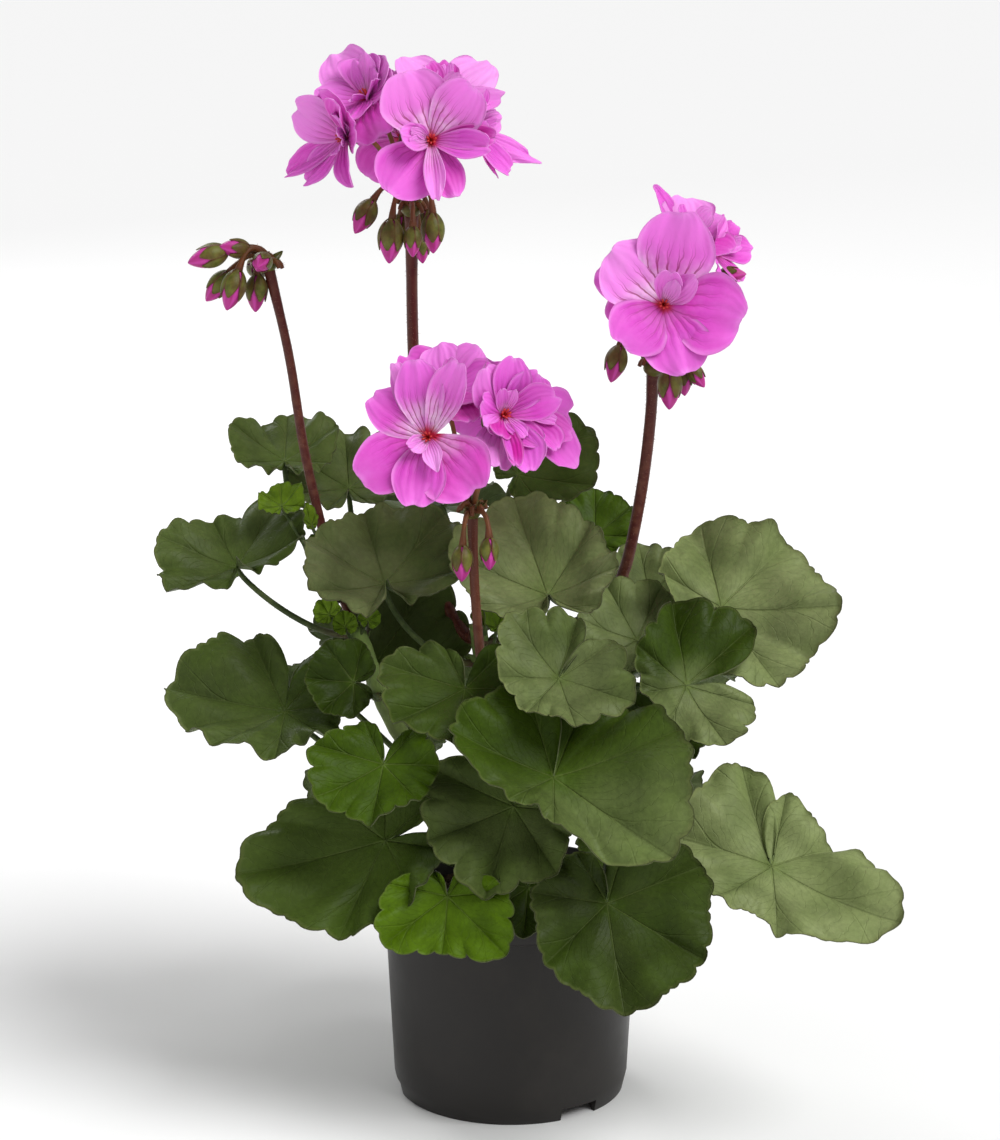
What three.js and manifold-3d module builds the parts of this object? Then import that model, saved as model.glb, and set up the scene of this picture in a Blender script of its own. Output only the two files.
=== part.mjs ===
// A zonal geranium in flower, growing in a round plastic nursery pot.
// Millimetres, +Z up. The origin is on the pot's axis, on the surface that the pot stands on.
// The front of the plant looks along -Y.

import * as THREE from 'three';
import { mergeVertices } from 'three/addons/utils/BufferGeometryUtils.js';
import Module from 'manifold-3d';

const wasm = await Module();
wasm.setup();

const degree = Math.PI / 180;
const clearance = 0.35; // left between two pieces that touch

// Pot: outer radii at the foot, above the bevel, under the rim and at the rim.
const potHeight = 91;
const potFootRadius = 48.5;
const potBevelRadius = 50.3;
const potBevelHeight = 8;
const potNeckRadius = 54;
const potRimRadius = 55.6;
const potRimBottom = 83;
const potLipHeight = 1; // rounded off at the top of the rim
const potWall = 1.4;
const potFootWidth = 2.4; // of the ring that the pot stands on
const potFloorBottom = 2;
const potFloorTop = 3.6;
const potSides = 32;
const slotWidth = 18;
const slotHeight = 5.5;
const slotDepth = 9;
const slotTurns = [-53.5, 66.5, 186.5]; // degrees round the pot, 0 at +X

// Soil.
const soilTop = 80;
const soilCrown = 3;
const soilFootRadius = 45.7;
const stemPlace = [0, 2];
const stemHoleRadius = 7;
const stemHoleBottom = 42;
const stemHoleTop = 102;

// Stems and petioles.
const trunkRadius = 6;
const shootRadius = 4;
const petioleRadius = 1.35;
const stalkRadius = 2.7;
const slimStalkRadius = 2;
const pedicelRadius = 0.95;

// Blades and petals.
const bladeThickness = 0.7;
const petalThickness = 0.65;
const floretThroat = 4.5; // depth of the middle of a floret below its face
const throatRadius = 2.6;
const throatHeight = 2.4;
const calyxLength = 7;
const budRadius = 3.6;
const budLength = 16;
const sinusAngle = 10 * degree; // half of the notch where the petiole joins

const leafGreen = { color: 0x46602a, roughness: 0.62 };
const paleGreen = { color: 0x7c8f5e, roughness: 0.6 };
const youngGreen = { color: 0x6f8f35, roughness: 0.58 };
const yellowGreen = { color: 0x7fa01c, roughness: 0.55 };
const stemGreen = { color: 0x6b7440, roughness: 0.6 };
const stalkRed = { color: 0x5a2a24, roughness: 0.5 };
const petalPink = { color: 0xe36fdc, roughness: 0.5 };
const potGrey = { color: 0x35342f, roughness: 0.45 };
const soilBrown = { color: 0x2c211a, roughness: 0.95 };

// The trunk and its shoots: points along the middle of each, lowest first.
const shoots = {
  trunk: [[0, 2, 46], [0, 2, 80], [0, 3, 106]],
  left: [[0, 2, 98], [-20, -2, 124], [-48, -6, 162], [-66, -6, 208]],
  centre: [[0, 2, 98], [-3, 0, 130], [-9, 2, 166], [-14, 8, 204]],
  right: [[0, 2, 98], [16, 4, 126], [33, 11, 166], [40, 20, 206]],
  back: [[0, 2, 98], [4, 24, 126], [4, 44, 166], [-2, 54, 212]],
};

// Every leaf: the point where the petiole meets the blade, the way the upper face looks (turn from the front,
// then rise from level), the turn of the middle vein from straight downhill, and the lengths of the seven main
// veins, or of the middle one alone on a regular leaf. 'rise' lifts the seven vein tips. 'from' is the shoot
// and how far up it the petiole leaves, and 'teeth' is the number of scallops on each half lobe.
const leaves = [
  {
    name: 'leaf_left_top', hub: [-97, 45, 266], face: [0, 64], spin: 180,
    veins: [14, 20, 29, 28, 31, 20, 13], from: ['left', 0.82],
  },
  {
    name: 'leaf_behind_left_head', hub: [-70, 54, 252], face: [0, 60], spin: 185,
    veins: [19, 25, 30, 33, 32, 27, 20], from: ['left', 0.93],
  },
  {
    name: 'leaf_left_upper', hub: [-116, 14, 227], face: [-10, 58], spin: 212,
    veins: [14, 31, 42, 28, 34, 33, 18], from: ['left', 0.86],
  },
  {
    name: 'leaf_centre_left', hub: [-53, -4, 224], face: [5, 48], spin: 190,
    veins: [18, 36, 43, 39, 37, 34, 24], from: ['centre', 0.86],
  },
  {
    name: 'leaf_centre_right', hub: [15, -11, 221], face: [-5, 42], spin: 200,
    veins: [26, 31, 36, 49, 45, 27, 17], from: ['centre', 0.93],
  },
  {
    name: 'leaf_left_dark', hub: [-61, 15, 181], face: [0, 42], spin: 148,
    veins: [16, 26, 38, 43, 26, 16, 14], from: ['left', 0.55],
  },
  {
    name: 'leaf_left_small', hub: [-65, -34, 190], face: [-10, 30], spin: -90,
    veins: [9, 16, 18, 20, 17, 14, 9], from: ['left', 0.78],
  },
  {
    name: 'leaf_left_wide', hub: [-94, -26, 175], face: [-10, 60], spin: -94,
    veins: [34, 38, 40, 57, 34, 34, 36], from: ['left', 0.5],
  },
  {
    name: 'leaf_front_upper', hub: [-19, -44, 190], face: [0, 46], spin: -8,
    veins: [21, 36, 35, 28, 26, 29, 27], from: ['centre', 0.7],
  },
  {
    name: 'leaf_front_left', hub: [-52, -65, 164], face: [-5, 42], spin: -6,
    veins: [21, 30, 32, 28, 23, 23, 21], from: ['centre', 0.35],
  },
  {
    name: 'leaf_low_left', hub: [-52, -45, 125], face: [-15, 38], spin: -68,
    veins: [20, 18, 34, 64, 50, 34, 24], from: ['left', 0.1], teeth: 3,
  },
  {
    name: 'leaf_front_middle', hub: [1, -58, 144], face: [-14, 37], spin: -10,
    veins: [21, 34, 38, 41, 37, 26, 17], from: ['centre', 0.25],
  },
  {
    name: 'leaf_front_right', hub: [17, -76, 162], face: [5, 42], spin: 18,
    veins: [42, 42, 32, 38, 56, 50, 34], rise: [4, 3, 0, 0, 0, 0, 0], from: ['centre', 0.5], teeth: 3,
  },
  {
    name: 'leaf_front_pale', hub: [19, -64, 200], face: [-5, 46], spin: -34,
    veins: [30, 33, 24, 21, 25, 33, 28], from: ['centre', 0.8], finish: paleGreen,
  },
  {
    name: 'leaf_right_top', hub: [88, 0, 213], face: [10, 39], spin: 130,
    veins: [30, 44, 48, 42, 41, 30, 18], from: ['right', 0.92], teeth: 3, finish: paleGreen,
  },
  {
    name: 'leaf_right_middle', hub: [72, -36, 189], face: [20, 30], spin: -85,
    veins: [42, 38, 27, 21, 24, 30, 32], from: ['right', 0.75],
  },
  {
    name: 'leaf_right_low', hub: [108, -46, 114], face: [10, 50], spin: 10,
    veins: [51, 42, 31, 28, 52, 33, 25], rise: [0, 0, 0, -2, -12, -4, 2], from: ['right', 0.12],
    teeth: 3, finish: paleGreen,
  },
  {
    name: 'leaf_low_front', hub: [39, -78, 109], face: [5, 28], spin: 5,
    veins: [26, 32, 37, 47, 46, 42, 28], from: ['trunk', 0.86],
  },
  {
    name: 'leaf_low_yellow', hub: [-26, -72, 110], face: [-10, 22], spin: 0,
    veins: [13, 24, 33, 24, 35, 26, 14], from: ['trunk', 0.8], finish: yellowGreen,
  },
  {
    name: 'leaf_behind_centre_head', hub: [3, 45, 260], face: [15, 45], spin: 120,
    veins: [12, 20, 33, 38, 24, 14, 11], from: ['centre', 0.98],
  },
  {
    name: 'leaf_right_inner', hub: [53, -2, 199], face: [10, 45], spin: 200,
    size: 30, from: ['right', 0.86],
  },
  {
    name: 'leaf_right_behind', hub: [60, 42, 207], face: [0, 50], spin: 190,
    size: 27, from: ['right', 0.85],
  },
  {
    name: 'leaf_right_tucked', hub: [63, 6, 164], face: [5, 50], spin: -20,
    size: 30, from: ['right', 0.3],
  },
  {
    name: 'leaf_low_right', hub: [54, -24, 118], face: [5, 50], spin: 10,
    size: 36, from: ['right', 0.3],
  },
  {
    name: 'leaf_low_dark', hub: [7, -44, 104], face: [0, 40], spin: -5,
    size: 24, from: ['trunk', 0.75],
  },
  {
    name: 'leaf_bright_behind', hub: [37, 68, 228], face: [0, 50], spin: 180,
    size: 23, from: ['back', 0.95], finish: youngGreen,
  },
  {
    name: 'leaf_back_top', hub: [-30, 72, 240], face: [190, 56], spin: 10,
    size: 40, from: ['back', 0.9], teeth: 1,
  },
  {
    name: 'leaf_back_left', hub: [-54, 64, 190], face: [205, 48], spin: 20,
    size: 38, from: ['back', 0.75], teeth: 1,
  },
  {
    name: 'leaf_back_right', hub: [62, 64, 172], face: [150, 50], spin: -15,
    size: 42, from: ['back', 0.6], teeth: 1,
  },
  {
    name: 'leaf_back_upper', hub: [44, 72, 202], face: [165, 52], spin: 0,
    size: 34, from: ['back', 0.8], teeth: 1,
  },
  {
    name: 'leaf_back_middle', hub: [4, 70, 158], face: [180, 44], spin: 0,
    size: 42, from: ['back', 0.45], teeth: 1,
  },
  {
    name: 'leaf_back_low_left', hub: [-56, 54, 128], face: [210, 38], spin: 0,
    size: 42, from: ['back', 0.2], teeth: 1,
  },
  {
    name: 'leaf_back_low_right', hub: [50, 58, 118], face: [150, 36], spin: 0,
    size: 42, from: ['back', 0.1], teeth: 1,
  },
  {
    name: 'leaf_side_left', hub: [-88, 46, 168], face: [235, 45], spin: 0,
    size: 32, from: ['left', 0.42], teeth: 1,
  },
  {
    name: 'leaf_side_right', hub: [96, 50, 190], face: [125, 44], spin: 0,
    size: 34, from: ['right', 0.6], teeth: 1,
  },
];

// Florets: the middle of the throat, the way it looks (turn from the front, then rise), the turn of its first
// petal, and the petal length. On a half-double floret every other petal is raised by 'layers' millimetres.
// A bud has its middle and the way its tip points.
const heads = [
  {
    name: 'top', umbel: [-41, 5, 382], from: ['centre', 0.95],
    stalk: [[-30, 30, 212], [-38, 34, 250], [-41, 22, 320]],
    florets: [
      { at: [-32, -28, 413], look: [5, 20], turn: 18, length: 31 },
      { at: [-69, -8, 413], look: [-62, 5], turn: 30, length: 30, open: 0.35 },
      { at: [-61, 12, 428], look: [-50, 45], turn: 0, length: 24, open: 0.35 },
      { at: [-42, 30, 428], look: [-160, 60], turn: 20, length: 27, open: 0.35 },
      { at: [-20, 4, 430], look: [30, 55], turn: 40, length: 27, open: 0.35 },
      { at: [-4, 2, 409], look: [75, 8], turn: 10, length: 27, open: 0.35 },
      { at: [-34, 38, 410], look: [175, 15], turn: 0, length: 29, open: 0.35 },
    ],
    buds: [
      { at: [-61, -2, 380], look: [-60, -70] }, { at: [-50, -10, 370], look: [-40, -80] },
      { at: [-41, -16, 371], look: [0, -75] }, { at: [-33, -4, 371], look: [40, -80] },
    ],
  },
  {
    name: 'middle', umbel: [-15, -25, 260], from: ['centre', 0.84],
    stalk: [[-13, -19, 200], [-15, -26, 228]],
    florets: [
      { at: [-33, -50, 297], look: [-8, 15], turn: 15, length: 33, petals: 6, layers: 3 },
      { at: [-24, -18, 308], look: [-20, 62], turn: 0, length: 26, open: 0.35 },
      { at: [2, -40, 302], look: [25, 20], turn: 30, length: 29, petals: 6, layers: 4 },
      { at: [18, -12, 292], look: [85, 10], turn: 0, length: 26, open: 0.35 },
      { at: [-8, 6, 300], look: [170, 30], turn: 0, length: 28, open: 0.35 },
    ],
    buds: [{ at: [-21, -36, 244], look: [-20, -75] }, { at: [-9, -37, 247], look: [15, -75] }],
  },
  {
    name: 'right', umbel: [59, 2, 313], from: ['right', 0.95],
    stalk: [[46, 24, 220], [52, 16, 262]],
    florets: [
      { at: [62, -22, 346], look: [0, 15], turn: 6, length: 34 },
      { at: [71, 8, 365], look: [20, 60], turn: 30, length: 27, open: 0.35 },
      { at: [84, 14, 352], look: [80, 25], turn: 0, length: 23, open: 0.35 },
      { at: [52, 28, 346], look: [200, 25], turn: 0, length: 28, open: 0.35 },
    ],
    buds: [
      { at: [43, -8, 320], look: [-50, -60] }, { at: [64, -14, 311], look: [5, -75] },
      { at: [77, -8, 315], look: [45, -65] },
    ],
  },
  {
    name: 'left_buds', umbel: [-101, 19, 355], from: ['left', 0.97],
    stalk: [[-75, 10, 226], [-80, 21, 242], [-87, 20, 276], [-93, 18, 318]], florets: [], slim: true,
    buds: [
      { at: [-125, 12, 360], look: [-75, -15] }, { at: [-115, 8, 347], look: [-50, -68] },
      { at: [-122, 22, 346], look: [-80, -50] }, { at: [-103, 8, 358], look: [-10, -5] },
      { at: [-106, 18, 344], look: [-20, -80] }, { at: [-106, 32, 352], look: [170, -20] },
    ],
  },
];

function vector([x, y, z]) {
  return new THREE.Vector3(x, y, z);
}

function toSolid(geometry) {
  const bare = geometry.clone();
  bare.deleteAttribute('normal');
  bare.deleteAttribute('uv');
  const merged = mergeVertices(bare, 1e-4);
  return new wasm.Manifold(new wasm.Mesh({
    numProp: 3,
    vertProperties: new Float32Array(merged.attributes.position.array),
    triVerts: new Uint32Array(merged.index.array),
  }));
}

function toGeometry(solid) {
  const mesh = solid.getMesh();
  const geometry = new THREE.BufferGeometry();
  geometry.setAttribute('position', new THREE.BufferAttribute(mesh.vertProperties, 3));
  geometry.setIndex(new THREE.BufferAttribute(mesh.triVerts, 1));
  geometry.computeVertexNormals();
  return geometry;
}

function joined(solids) {
  return solids.reduce((sum, solid) => sum.add(solid));
}

function named(name, solid, finish) {
  const material = new THREE.MeshStandardMaterial({ ...finish, metalness: 0 });
  const mesh = new THREE.Mesh(toGeometry(solid), material);
  mesh.name = name;
  return mesh;
}

function tube(curve, radius, sides, steps) {
  const ring = new THREE.EllipseCurve(0, 0, radius, radius).getPoints(sides).slice(0, sides);
  const options = { extrudePath: curve, steps, bevelEnabled: false };
  return toSolid(new THREE.ExtrudeGeometry(new THREE.Shape(ring), options));
}

// A closed sheet of even thickness round a middle surface that is given as vertices and triangles.
function sheet(points, faces, border, thickness) {
  const middle = new THREE.BufferGeometry().setFromPoints(points);
  middle.setIndex(faces.flat());
  middle.computeVertexNormals();
  const normals = middle.attributes.normal;
  const shifted = (side) => points.map((point, i) =>
    new THREE.Vector3().fromBufferAttribute(normals, i).multiplyScalar(side * thickness / 2).add(point));
  const count = points.length;
  const walls = border.flatMap((a, i) => {
    const b = border[(i + 1) % border.length];
    return [[a, a + count, b + count], [a, b + count, b]];
  });
  const underside = faces.map(([a, b, c]) => [a + count, c + count, b + count]);
  const geometry = new THREE.BufferGeometry().setFromPoints([...shifted(1), ...shifted(-1)]);
  geometry.setIndex([...faces, ...underside, ...walls].flat());
  return toSolid(geometry);
}

// Value at lobe position s, from -3 to 3, on a smooth line through seven values.
function along(values, s) {
  const line = new THREE.SplineCurve(values.map((value, i) => new THREE.Vector2(i, value)));
  return line.getPoint(THREE.MathUtils.clamp((s + 3) / 6, 0, 1)).y;
}

function regularVeins(size) {
  return [0.6, 0.76, 0.9, 1, 0.9, 0.76, 0.6].map((share) => share * size);
}

// Distance from the hub to the scalloped edge: seven shallow lobes, each with a few round teeth.
function edgeRadius(leaf, s) {
  const scallop = (depth, count) => 1 - depth * (1 - Math.abs(Math.cos(Math.PI * s * count)) ** 0.8);
  const near = Math.max(0, (Math.abs(s) / 3.5 - 0.68) / 0.32);
  const notch = 0.16 + 0.84 * Math.sqrt(1 - near ** 3.2);
  return along(leaf.veins, s) * scallop(0.06, 1) * scallop(0.065, leaf.teeth) * notch;
}

// A point of the blade, rho from 0 at the hub to 1 at the edge. The blade is cupped, pleated along its veins
// and waved at its edge.
function bladePoint(leaf, rho, s) {
  const radius = rho * edgeRadius(leaf, s);
  const angle = s / 3.5 * (Math.PI - sinusAngle);
  const size = leaf.veins.reduce((sum, value) => sum + value) / 7;
  const cup = leaf.cup * radius * radius / size;
  const pleat = 0.07 * radius * (0.5 - 0.5 * Math.cos(2 * Math.PI * s)) * Math.min(1, 1.6 * rho);
  const wave = leaf.wave * size * rho ** 3 * Math.sin(Math.PI * s + leaf.phase);
  const lift = along(leaf.rise, s) * rho ** 1.3;
  return new THREE.Vector3(radius * Math.cos(angle), radius * Math.sin(angle), cup + pleat + wave + lift);
}

function range(from, to, step) {
  const count = Math.round((to - from) / step);
  return Array.from({ length: count + 1 }, (_, i) => from + i * step);
}

function blade(leaf) {
  const rings = [
    { rho: 0.55, at: range(-3.5, 3.5, 0.5) },
    { rho: 1, at: range(-3.5, 3.5, 0.5 / leaf.teeth) },
  ];
  const points = [new THREE.Vector3()];
  for (const ring of rings) {
    ring.start = points.length;
    points.push(...ring.at.map((s) => bladePoint(leaf, ring.rho, s)));
  }
  const [inner, outer] = rings;
  const faces = inner.at.slice(1).map((_, i) => [0, i + 1, i + 2]);
  inner.at.slice(1).forEach((_, i) => {
    const a = inner.start + i;
    for (let j = 0; j < leaf.teeth; j += 1) {
      const b = outer.start + i * leaf.teeth + j;
      faces.push([a, b, b + 1]);
    }
    faces.push([a, outer.start + (i + 1) * leaf.teeth, a + 1]);
  });
  const edge = outer.at.map((_, i) => outer.start + i);
  const border = [0, inner.start, ...edge, outer.start - 1];
  return sheet(points, faces, border, bladeThickness);
}

function leafAxes({ face, spin }) {
  const [turn, rise, roll] = [face[0] * degree, face[1] * degree, spin * degree];
  const normal = vector([Math.sin(turn) * Math.cos(rise), -Math.cos(turn) * Math.cos(rise), Math.sin(rise)]);
  const downhill = vector([Math.sin(turn) * Math.sin(rise), -Math.cos(turn) * Math.sin(rise), -Math.cos(rise)]);
  const across = new THREE.Vector3().crossVectors(normal, downhill);
  const middle = downhill.multiplyScalar(Math.cos(roll)).addScaledVector(across, Math.sin(roll));
  return new THREE.Matrix4().makeBasis(middle, new THREE.Vector3().crossVectors(normal, middle), normal);
}

const shootCurves = Object.fromEntries(Object.entries(shoots).map(([name, points]) =>
  [name, new THREE.CatmullRomCurve3(points.map(vector))]));

// The point on a shoot's bark where a petiole or stalk stands, and its direction there, square to the shoot.
function footOn([shoot, share], goal) {
  const curve = shootCurves[shoot];
  const radius = shoot === 'trunk' ? trunkRadius : shootRadius;
  const origin = curve.getPoint(share);
  const stem = curve.getTangent(share);
  const outward = goal.clone().sub(origin);
  outward.addScaledVector(stem, -outward.dot(stem)).normalize();
  return { start: origin.addScaledVector(outward, radius + clearance), outward };
}

// The petiole leaves its shoot square, bends up and comes to the hub from under the blade.
function petioleCurve(leaf, axes) {
  const hub = vector(leaf.hub);
  const { start, outward } = footOn(leaf.from, hub);
  const [middle, , normal] = [0, 1, 2].map((i) => new THREE.Vector3().setFromMatrixColumn(axes, i));
  const arrival = normal.clone().multiplyScalar(0.8).addScaledVector(middle, 0.6);
  const end = hub.clone().addScaledVector(normal, -0.55);
  const reach = start.distanceTo(end);
  const leave = start.clone().addScaledVector(outward, reach * 0.3);
  const arrive = end.clone().addScaledVector(arrival, -reach * 0.35);
  return new THREE.CubicBezierCurve3(start, leave, arrive, end);
}

function makeLeaf(row) {
  const leaf = { teeth: 2, cup: 0.1, wave: 0.04, phase: 0, rise: [0, 0, 0, 0, 0, 0, 0], ...row };
  leaf.veins = row.veins ?? regularVeins(row.size);
  const axes = leafAxes(leaf);
  const place = axes.clone().setPosition(vector(leaf.hub));
  const toLeaf = place.clone().invert();
  const path = petioleCurve(leaf, axes);
  const local = new THREE.CubicBezierCurve3(...[path.v0, path.v1, path.v2, path.v3]
    .map((point) => point.clone().applyMatrix4(toLeaf)));
  const solid = blade(leaf).add(tube(local, petioleRadius, 4, 3));
  const mesh = named(leaf.name, solid, leaf.finish ?? leafGreen);
  mesh.applyMatrix4(place);
  return mesh;
}

function makePot() {
  const inside = (radius) => radius - potWall;
  const profile = [
    [0, potFloorBottom], [potFootRadius - potFootWidth - 0.6, potFloorBottom], [potFootRadius - potFootWidth, 0],
    [potFootRadius, 0], [potBevelRadius, potBevelHeight], [potNeckRadius, potRimBottom - potLipHeight],
    [potRimRadius, potRimBottom], [potRimRadius + 0.4, potHeight - potLipHeight], [potRimRadius - 0.2, potHeight],
    [inside(potRimRadius), potHeight], [inside(potNeckRadius), potRimBottom - 2 * potLipHeight],
    [inside(potBevelRadius), potBevelHeight], [inside(potFootRadius) - 0.6, potFloorTop], [0, potFloorTop],
  ];
  const lathe = new THREE.LatheGeometry(profile.map(([r, z]) => new THREE.Vector2(r, z)), potSides);
  let solid = toSolid(lathe.rotateX(90 * degree));
  for (const turn of slotTurns) {
    const cutter = new THREE.BoxGeometry(slotDepth * 2, slotWidth, slotHeight * 2);
    cutter.translate(potBevelRadius, 0, 0).rotateZ(turn * degree);
    solid = solid.subtract(toSolid(cutter));
  }
  return named('pot', solid, potGrey);
}

function makeSoil() {
  const wallTop = potRimBottom - 2 * potLipHeight;
  const radiusAt = (z) => THREE.MathUtils.mapLinear(z, potBevelHeight, wallTop, potBevelRadius, potNeckRadius)
    - potWall - clearance;
  const bottom = potFloorTop + clearance;
  const crown = (share) => [radiusAt(soilTop) * share, soilTop + soilCrown * (1 - share)];
  const profile = [
    [0, bottom], [soilFootRadius, bottom], [radiusAt(potBevelHeight) - clearance, potBevelHeight],
    crown(1), crown(0.5), crown(0),
  ];
  const lathe = new THREE.LatheGeometry(profile.map(([r, z]) => new THREE.Vector2(r, z)), potSides);
  const hole = new THREE.CylinderGeometry(stemHoleRadius, stemHoleRadius, stemHoleTop - stemHoleBottom, 12);
  hole.rotateX(90 * degree).translate(...stemPlace, (stemHoleTop + stemHoleBottom) / 2);
  return named('soil', toSolid(lathe.rotateX(90 * degree)).subtract(toSolid(hole)), soilBrown);
}

function makeStem() {
  const pieces = Object.entries(shootCurves).map(([name, curve]) =>
    tube(curve, name === 'trunk' ? trunkRadius : shootRadius, 7, name === 'trunk' ? 2 : 5));
  return named('stem', joined(pieces), stemGreen);
}

// Petal rows from the root out: distance and half width, as shares of the length.
const petalRows = [[0.04, 0.02], [0.45, 0.3], [0.8, 0.41], [0.95, 0.24]];

function petal(floret) {
  const { length, open, lift } = floret;
  const height = (u) => open * u * u * length - floretThroat * (1 - u) ** 3 + lift * u;
  const points = petalRows.flatMap(([u, width]) => [-1, 1].map((side) =>
    new THREE.Vector3(u * length, side * width * length, height(u) + 0.4 * length * width * width)));
  points.push(new THREE.Vector3(length, 0, height(1)));
  const faces = [0, 2, 4].flatMap((a) => [[a, a + 2, a + 3], [a, a + 3, a + 1]]);
  faces.push([6, 8, 7]);
  return sheet(points, faces, [0, 2, 4, 6, 8, 7, 5, 3, 1], petalThickness);
}

function floretPlace({ at, look, turn }) {
  return leafAxes({ face: look, spin: turn + 180 }).setPosition(vector(at));
}

function makeFloret(row) {
  const floret = { petals: 5, open: 0.12, layers: 0, ...row };
  const petals = Array.from({ length: floret.petals }, (_, i) => {
    const turned = new THREE.Matrix4().makeRotationZ(i * 360 / floret.petals * degree);
    return petal({ ...floret, lift: (i % 2) * floret.layers }).transform(turned.elements);
  });
  const cone = new THREE.CylinderGeometry(throatRadius, throatRadius * 0.7, throatHeight, 5).rotateX(90 * degree);
  cone.translate(0, 0, -floretThroat);
  return joined([...petals, toSolid(cone)]).transform(floretPlace(floret).elements);
}

// A closed bud, on a pedicel that arches over from the umbel and meets it from behind.
function bud({ at, look }, from) {
  const place = leafAxes({ face: look, spin: 0 }).setPosition(vector(at));
  const profile = [
    [0, -budLength / 2], [budRadius * 0.9, -budLength * 0.22], [budRadius, budLength * 0.12], [0, budLength / 2],
  ];
  const body = new THREE.LatheGeometry(profile.map(([r, z]) => new THREE.Vector2(r, z)), 5).rotateX(90 * degree);
  const behind = (depth) => new THREE.Vector3(0, 0, -depth).applyMatrix4(place);
  const pedicel = new THREE.QuadraticBezierCurve3(vector(from), behind(budLength * 1.1), behind(budLength * 0.4));
  return toSolid(body).transform(place.elements).add(tube(pedicel, pedicelRadius, 3, 3));
}

// Pedicel and calyx behind a floret, the calyx just clear of the floret's throat.
function calyx(floret, from) {
  const place = floretPlace(floret);
  const top = -floretThroat - throatHeight / 2 - clearance;
  const behind = (depth) => new THREE.Vector3(0, 0, top - depth).applyMatrix4(place);
  const cup = new THREE.CylinderGeometry(throatRadius, pedicelRadius, calyxLength, 5).rotateX(90 * degree);
  cup.translate(0, 0, top - calyxLength / 2);
  const pedicel = new THREE.QuadraticBezierCurve3(vector(from), behind(16), behind(calyxLength * 0.7));
  return toSolid(cup).transform(place.elements).add(tube(pedicel, pedicelRadius, 3, 2));
}

function makeHead(head) {
  const foot = footOn(head.from, vector(head.stalk[0]));
  const path = [foot.start, foot.start.clone().addScaledVector(foot.outward, 4), ...head.stalk.map(vector),
    vector(head.umbel)];
  const radius = head.slim ? slimStalkRadius : stalkRadius;
  const green = joined([
    tube(new THREE.CatmullRomCurve3(path), radius, 6, 7),
    toSolid(new THREE.OctahedronGeometry(radius * 1.8)).translate(...head.umbel),
    ...head.florets.map((floret) => calyx(floret, head.umbel)),
    ...head.buds.map((at) => bud(at, head.umbel)),
  ]);
  const meshes = [named(`stalk_${head.name}`, green, stalkRed)];
  if (head.florets.length > 0) {
    const groups = joined(head.florets.map(makeFloret)).decompose();
    meshes.push(...groups.map((group, i) => named(`florets_${head.name}_${i + 1}`, group, petalPink)));
  }
  return meshes;
}

const geranium = new THREE.Group();
geranium.add(makePot());
geranium.add(makeSoil());
geranium.add(makeStem());
geranium.add(...leaves.map(makeLeaf));
geranium.add(...heads.flatMap(makeHead));

export default geranium;
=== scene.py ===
# Looks of the potted zonal geranium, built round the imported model.
# Lengths in the tables are millimetres; objects are written in metres.

import math

import bpy
import numpy as np
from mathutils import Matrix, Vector, noise


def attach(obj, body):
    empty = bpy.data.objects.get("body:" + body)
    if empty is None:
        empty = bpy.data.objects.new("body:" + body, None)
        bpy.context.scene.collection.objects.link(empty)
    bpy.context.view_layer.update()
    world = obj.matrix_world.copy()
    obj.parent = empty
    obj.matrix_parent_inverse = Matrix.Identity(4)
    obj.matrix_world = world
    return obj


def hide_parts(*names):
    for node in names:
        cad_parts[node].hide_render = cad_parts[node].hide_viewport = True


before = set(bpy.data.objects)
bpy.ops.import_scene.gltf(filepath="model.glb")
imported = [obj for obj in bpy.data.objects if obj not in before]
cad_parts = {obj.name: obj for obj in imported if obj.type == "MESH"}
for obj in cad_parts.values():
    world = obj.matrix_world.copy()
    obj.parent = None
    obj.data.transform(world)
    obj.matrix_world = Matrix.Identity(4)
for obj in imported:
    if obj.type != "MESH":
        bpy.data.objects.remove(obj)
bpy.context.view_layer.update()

mm = 0.001
degree = math.pi / 180
fullTurn = 2 * math.pi
rng = np.random.default_rng(7)  # every random draw below comes from here, in order

# Camera and studio

cameraSetup = {
    "place": (-0.0046, -1.5, 0.606),
    "pitch": 14.1,  # degrees below level
    "lens": 116.5, "sensor": 36, "farClip": 100,
}

studio = {
    "floorSize": 200, "floorColor": (0.93, 0.93, 0.93),
    "worldColor": (1.0, 1.0, 1.0), "worldStrength": 0.36,
    "lightTarget": (0, 0, 0.25),
    "lights": {  # kind, place, size (degrees for the sun, metres for the others), power
        "key": ("SUN", (0.75, -0.55, 1.3), 38, 2.75),  # high on the right, in front
        "fill": ("AREA", (-1.7, -1.5, 0.8), 1.6, 4),
        "rim": ("AREA", (-0.8, 1.5, 1.2), 1.0, 10),
    },
}


def addCamera():
    data = bpy.data.cameras.new("camera")
    data.lens = cameraSetup["lens"]
    data.sensor_width = cameraSetup["sensor"]
    data.clip_end = cameraSetup["farClip"]
    camera = bpy.data.objects.new("camera", data)
    camera.location = cameraSetup["place"]
    camera.rotation_euler = ((90 - cameraSetup["pitch"]) * degree, 0, 0)
    bpy.context.collection.objects.link(camera)
    bpy.context.scene.camera = camera


def addLight(name, kind, place, size, power):
    data = bpy.data.lights.new(name, kind)
    data.energy = power
    if kind == "SUN":
        data.angle = size * degree
    else:
        data.shape = "DISK"
        data.size = size
    lamp = bpy.data.objects.new(name, data)
    lamp.location = place
    direction = Vector(studio["lightTarget"]) - lamp.location
    lamp.rotation_euler = direction.to_track_quat("-Z", "Y").to_euler()
    bpy.context.collection.objects.link(lamp)


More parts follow.
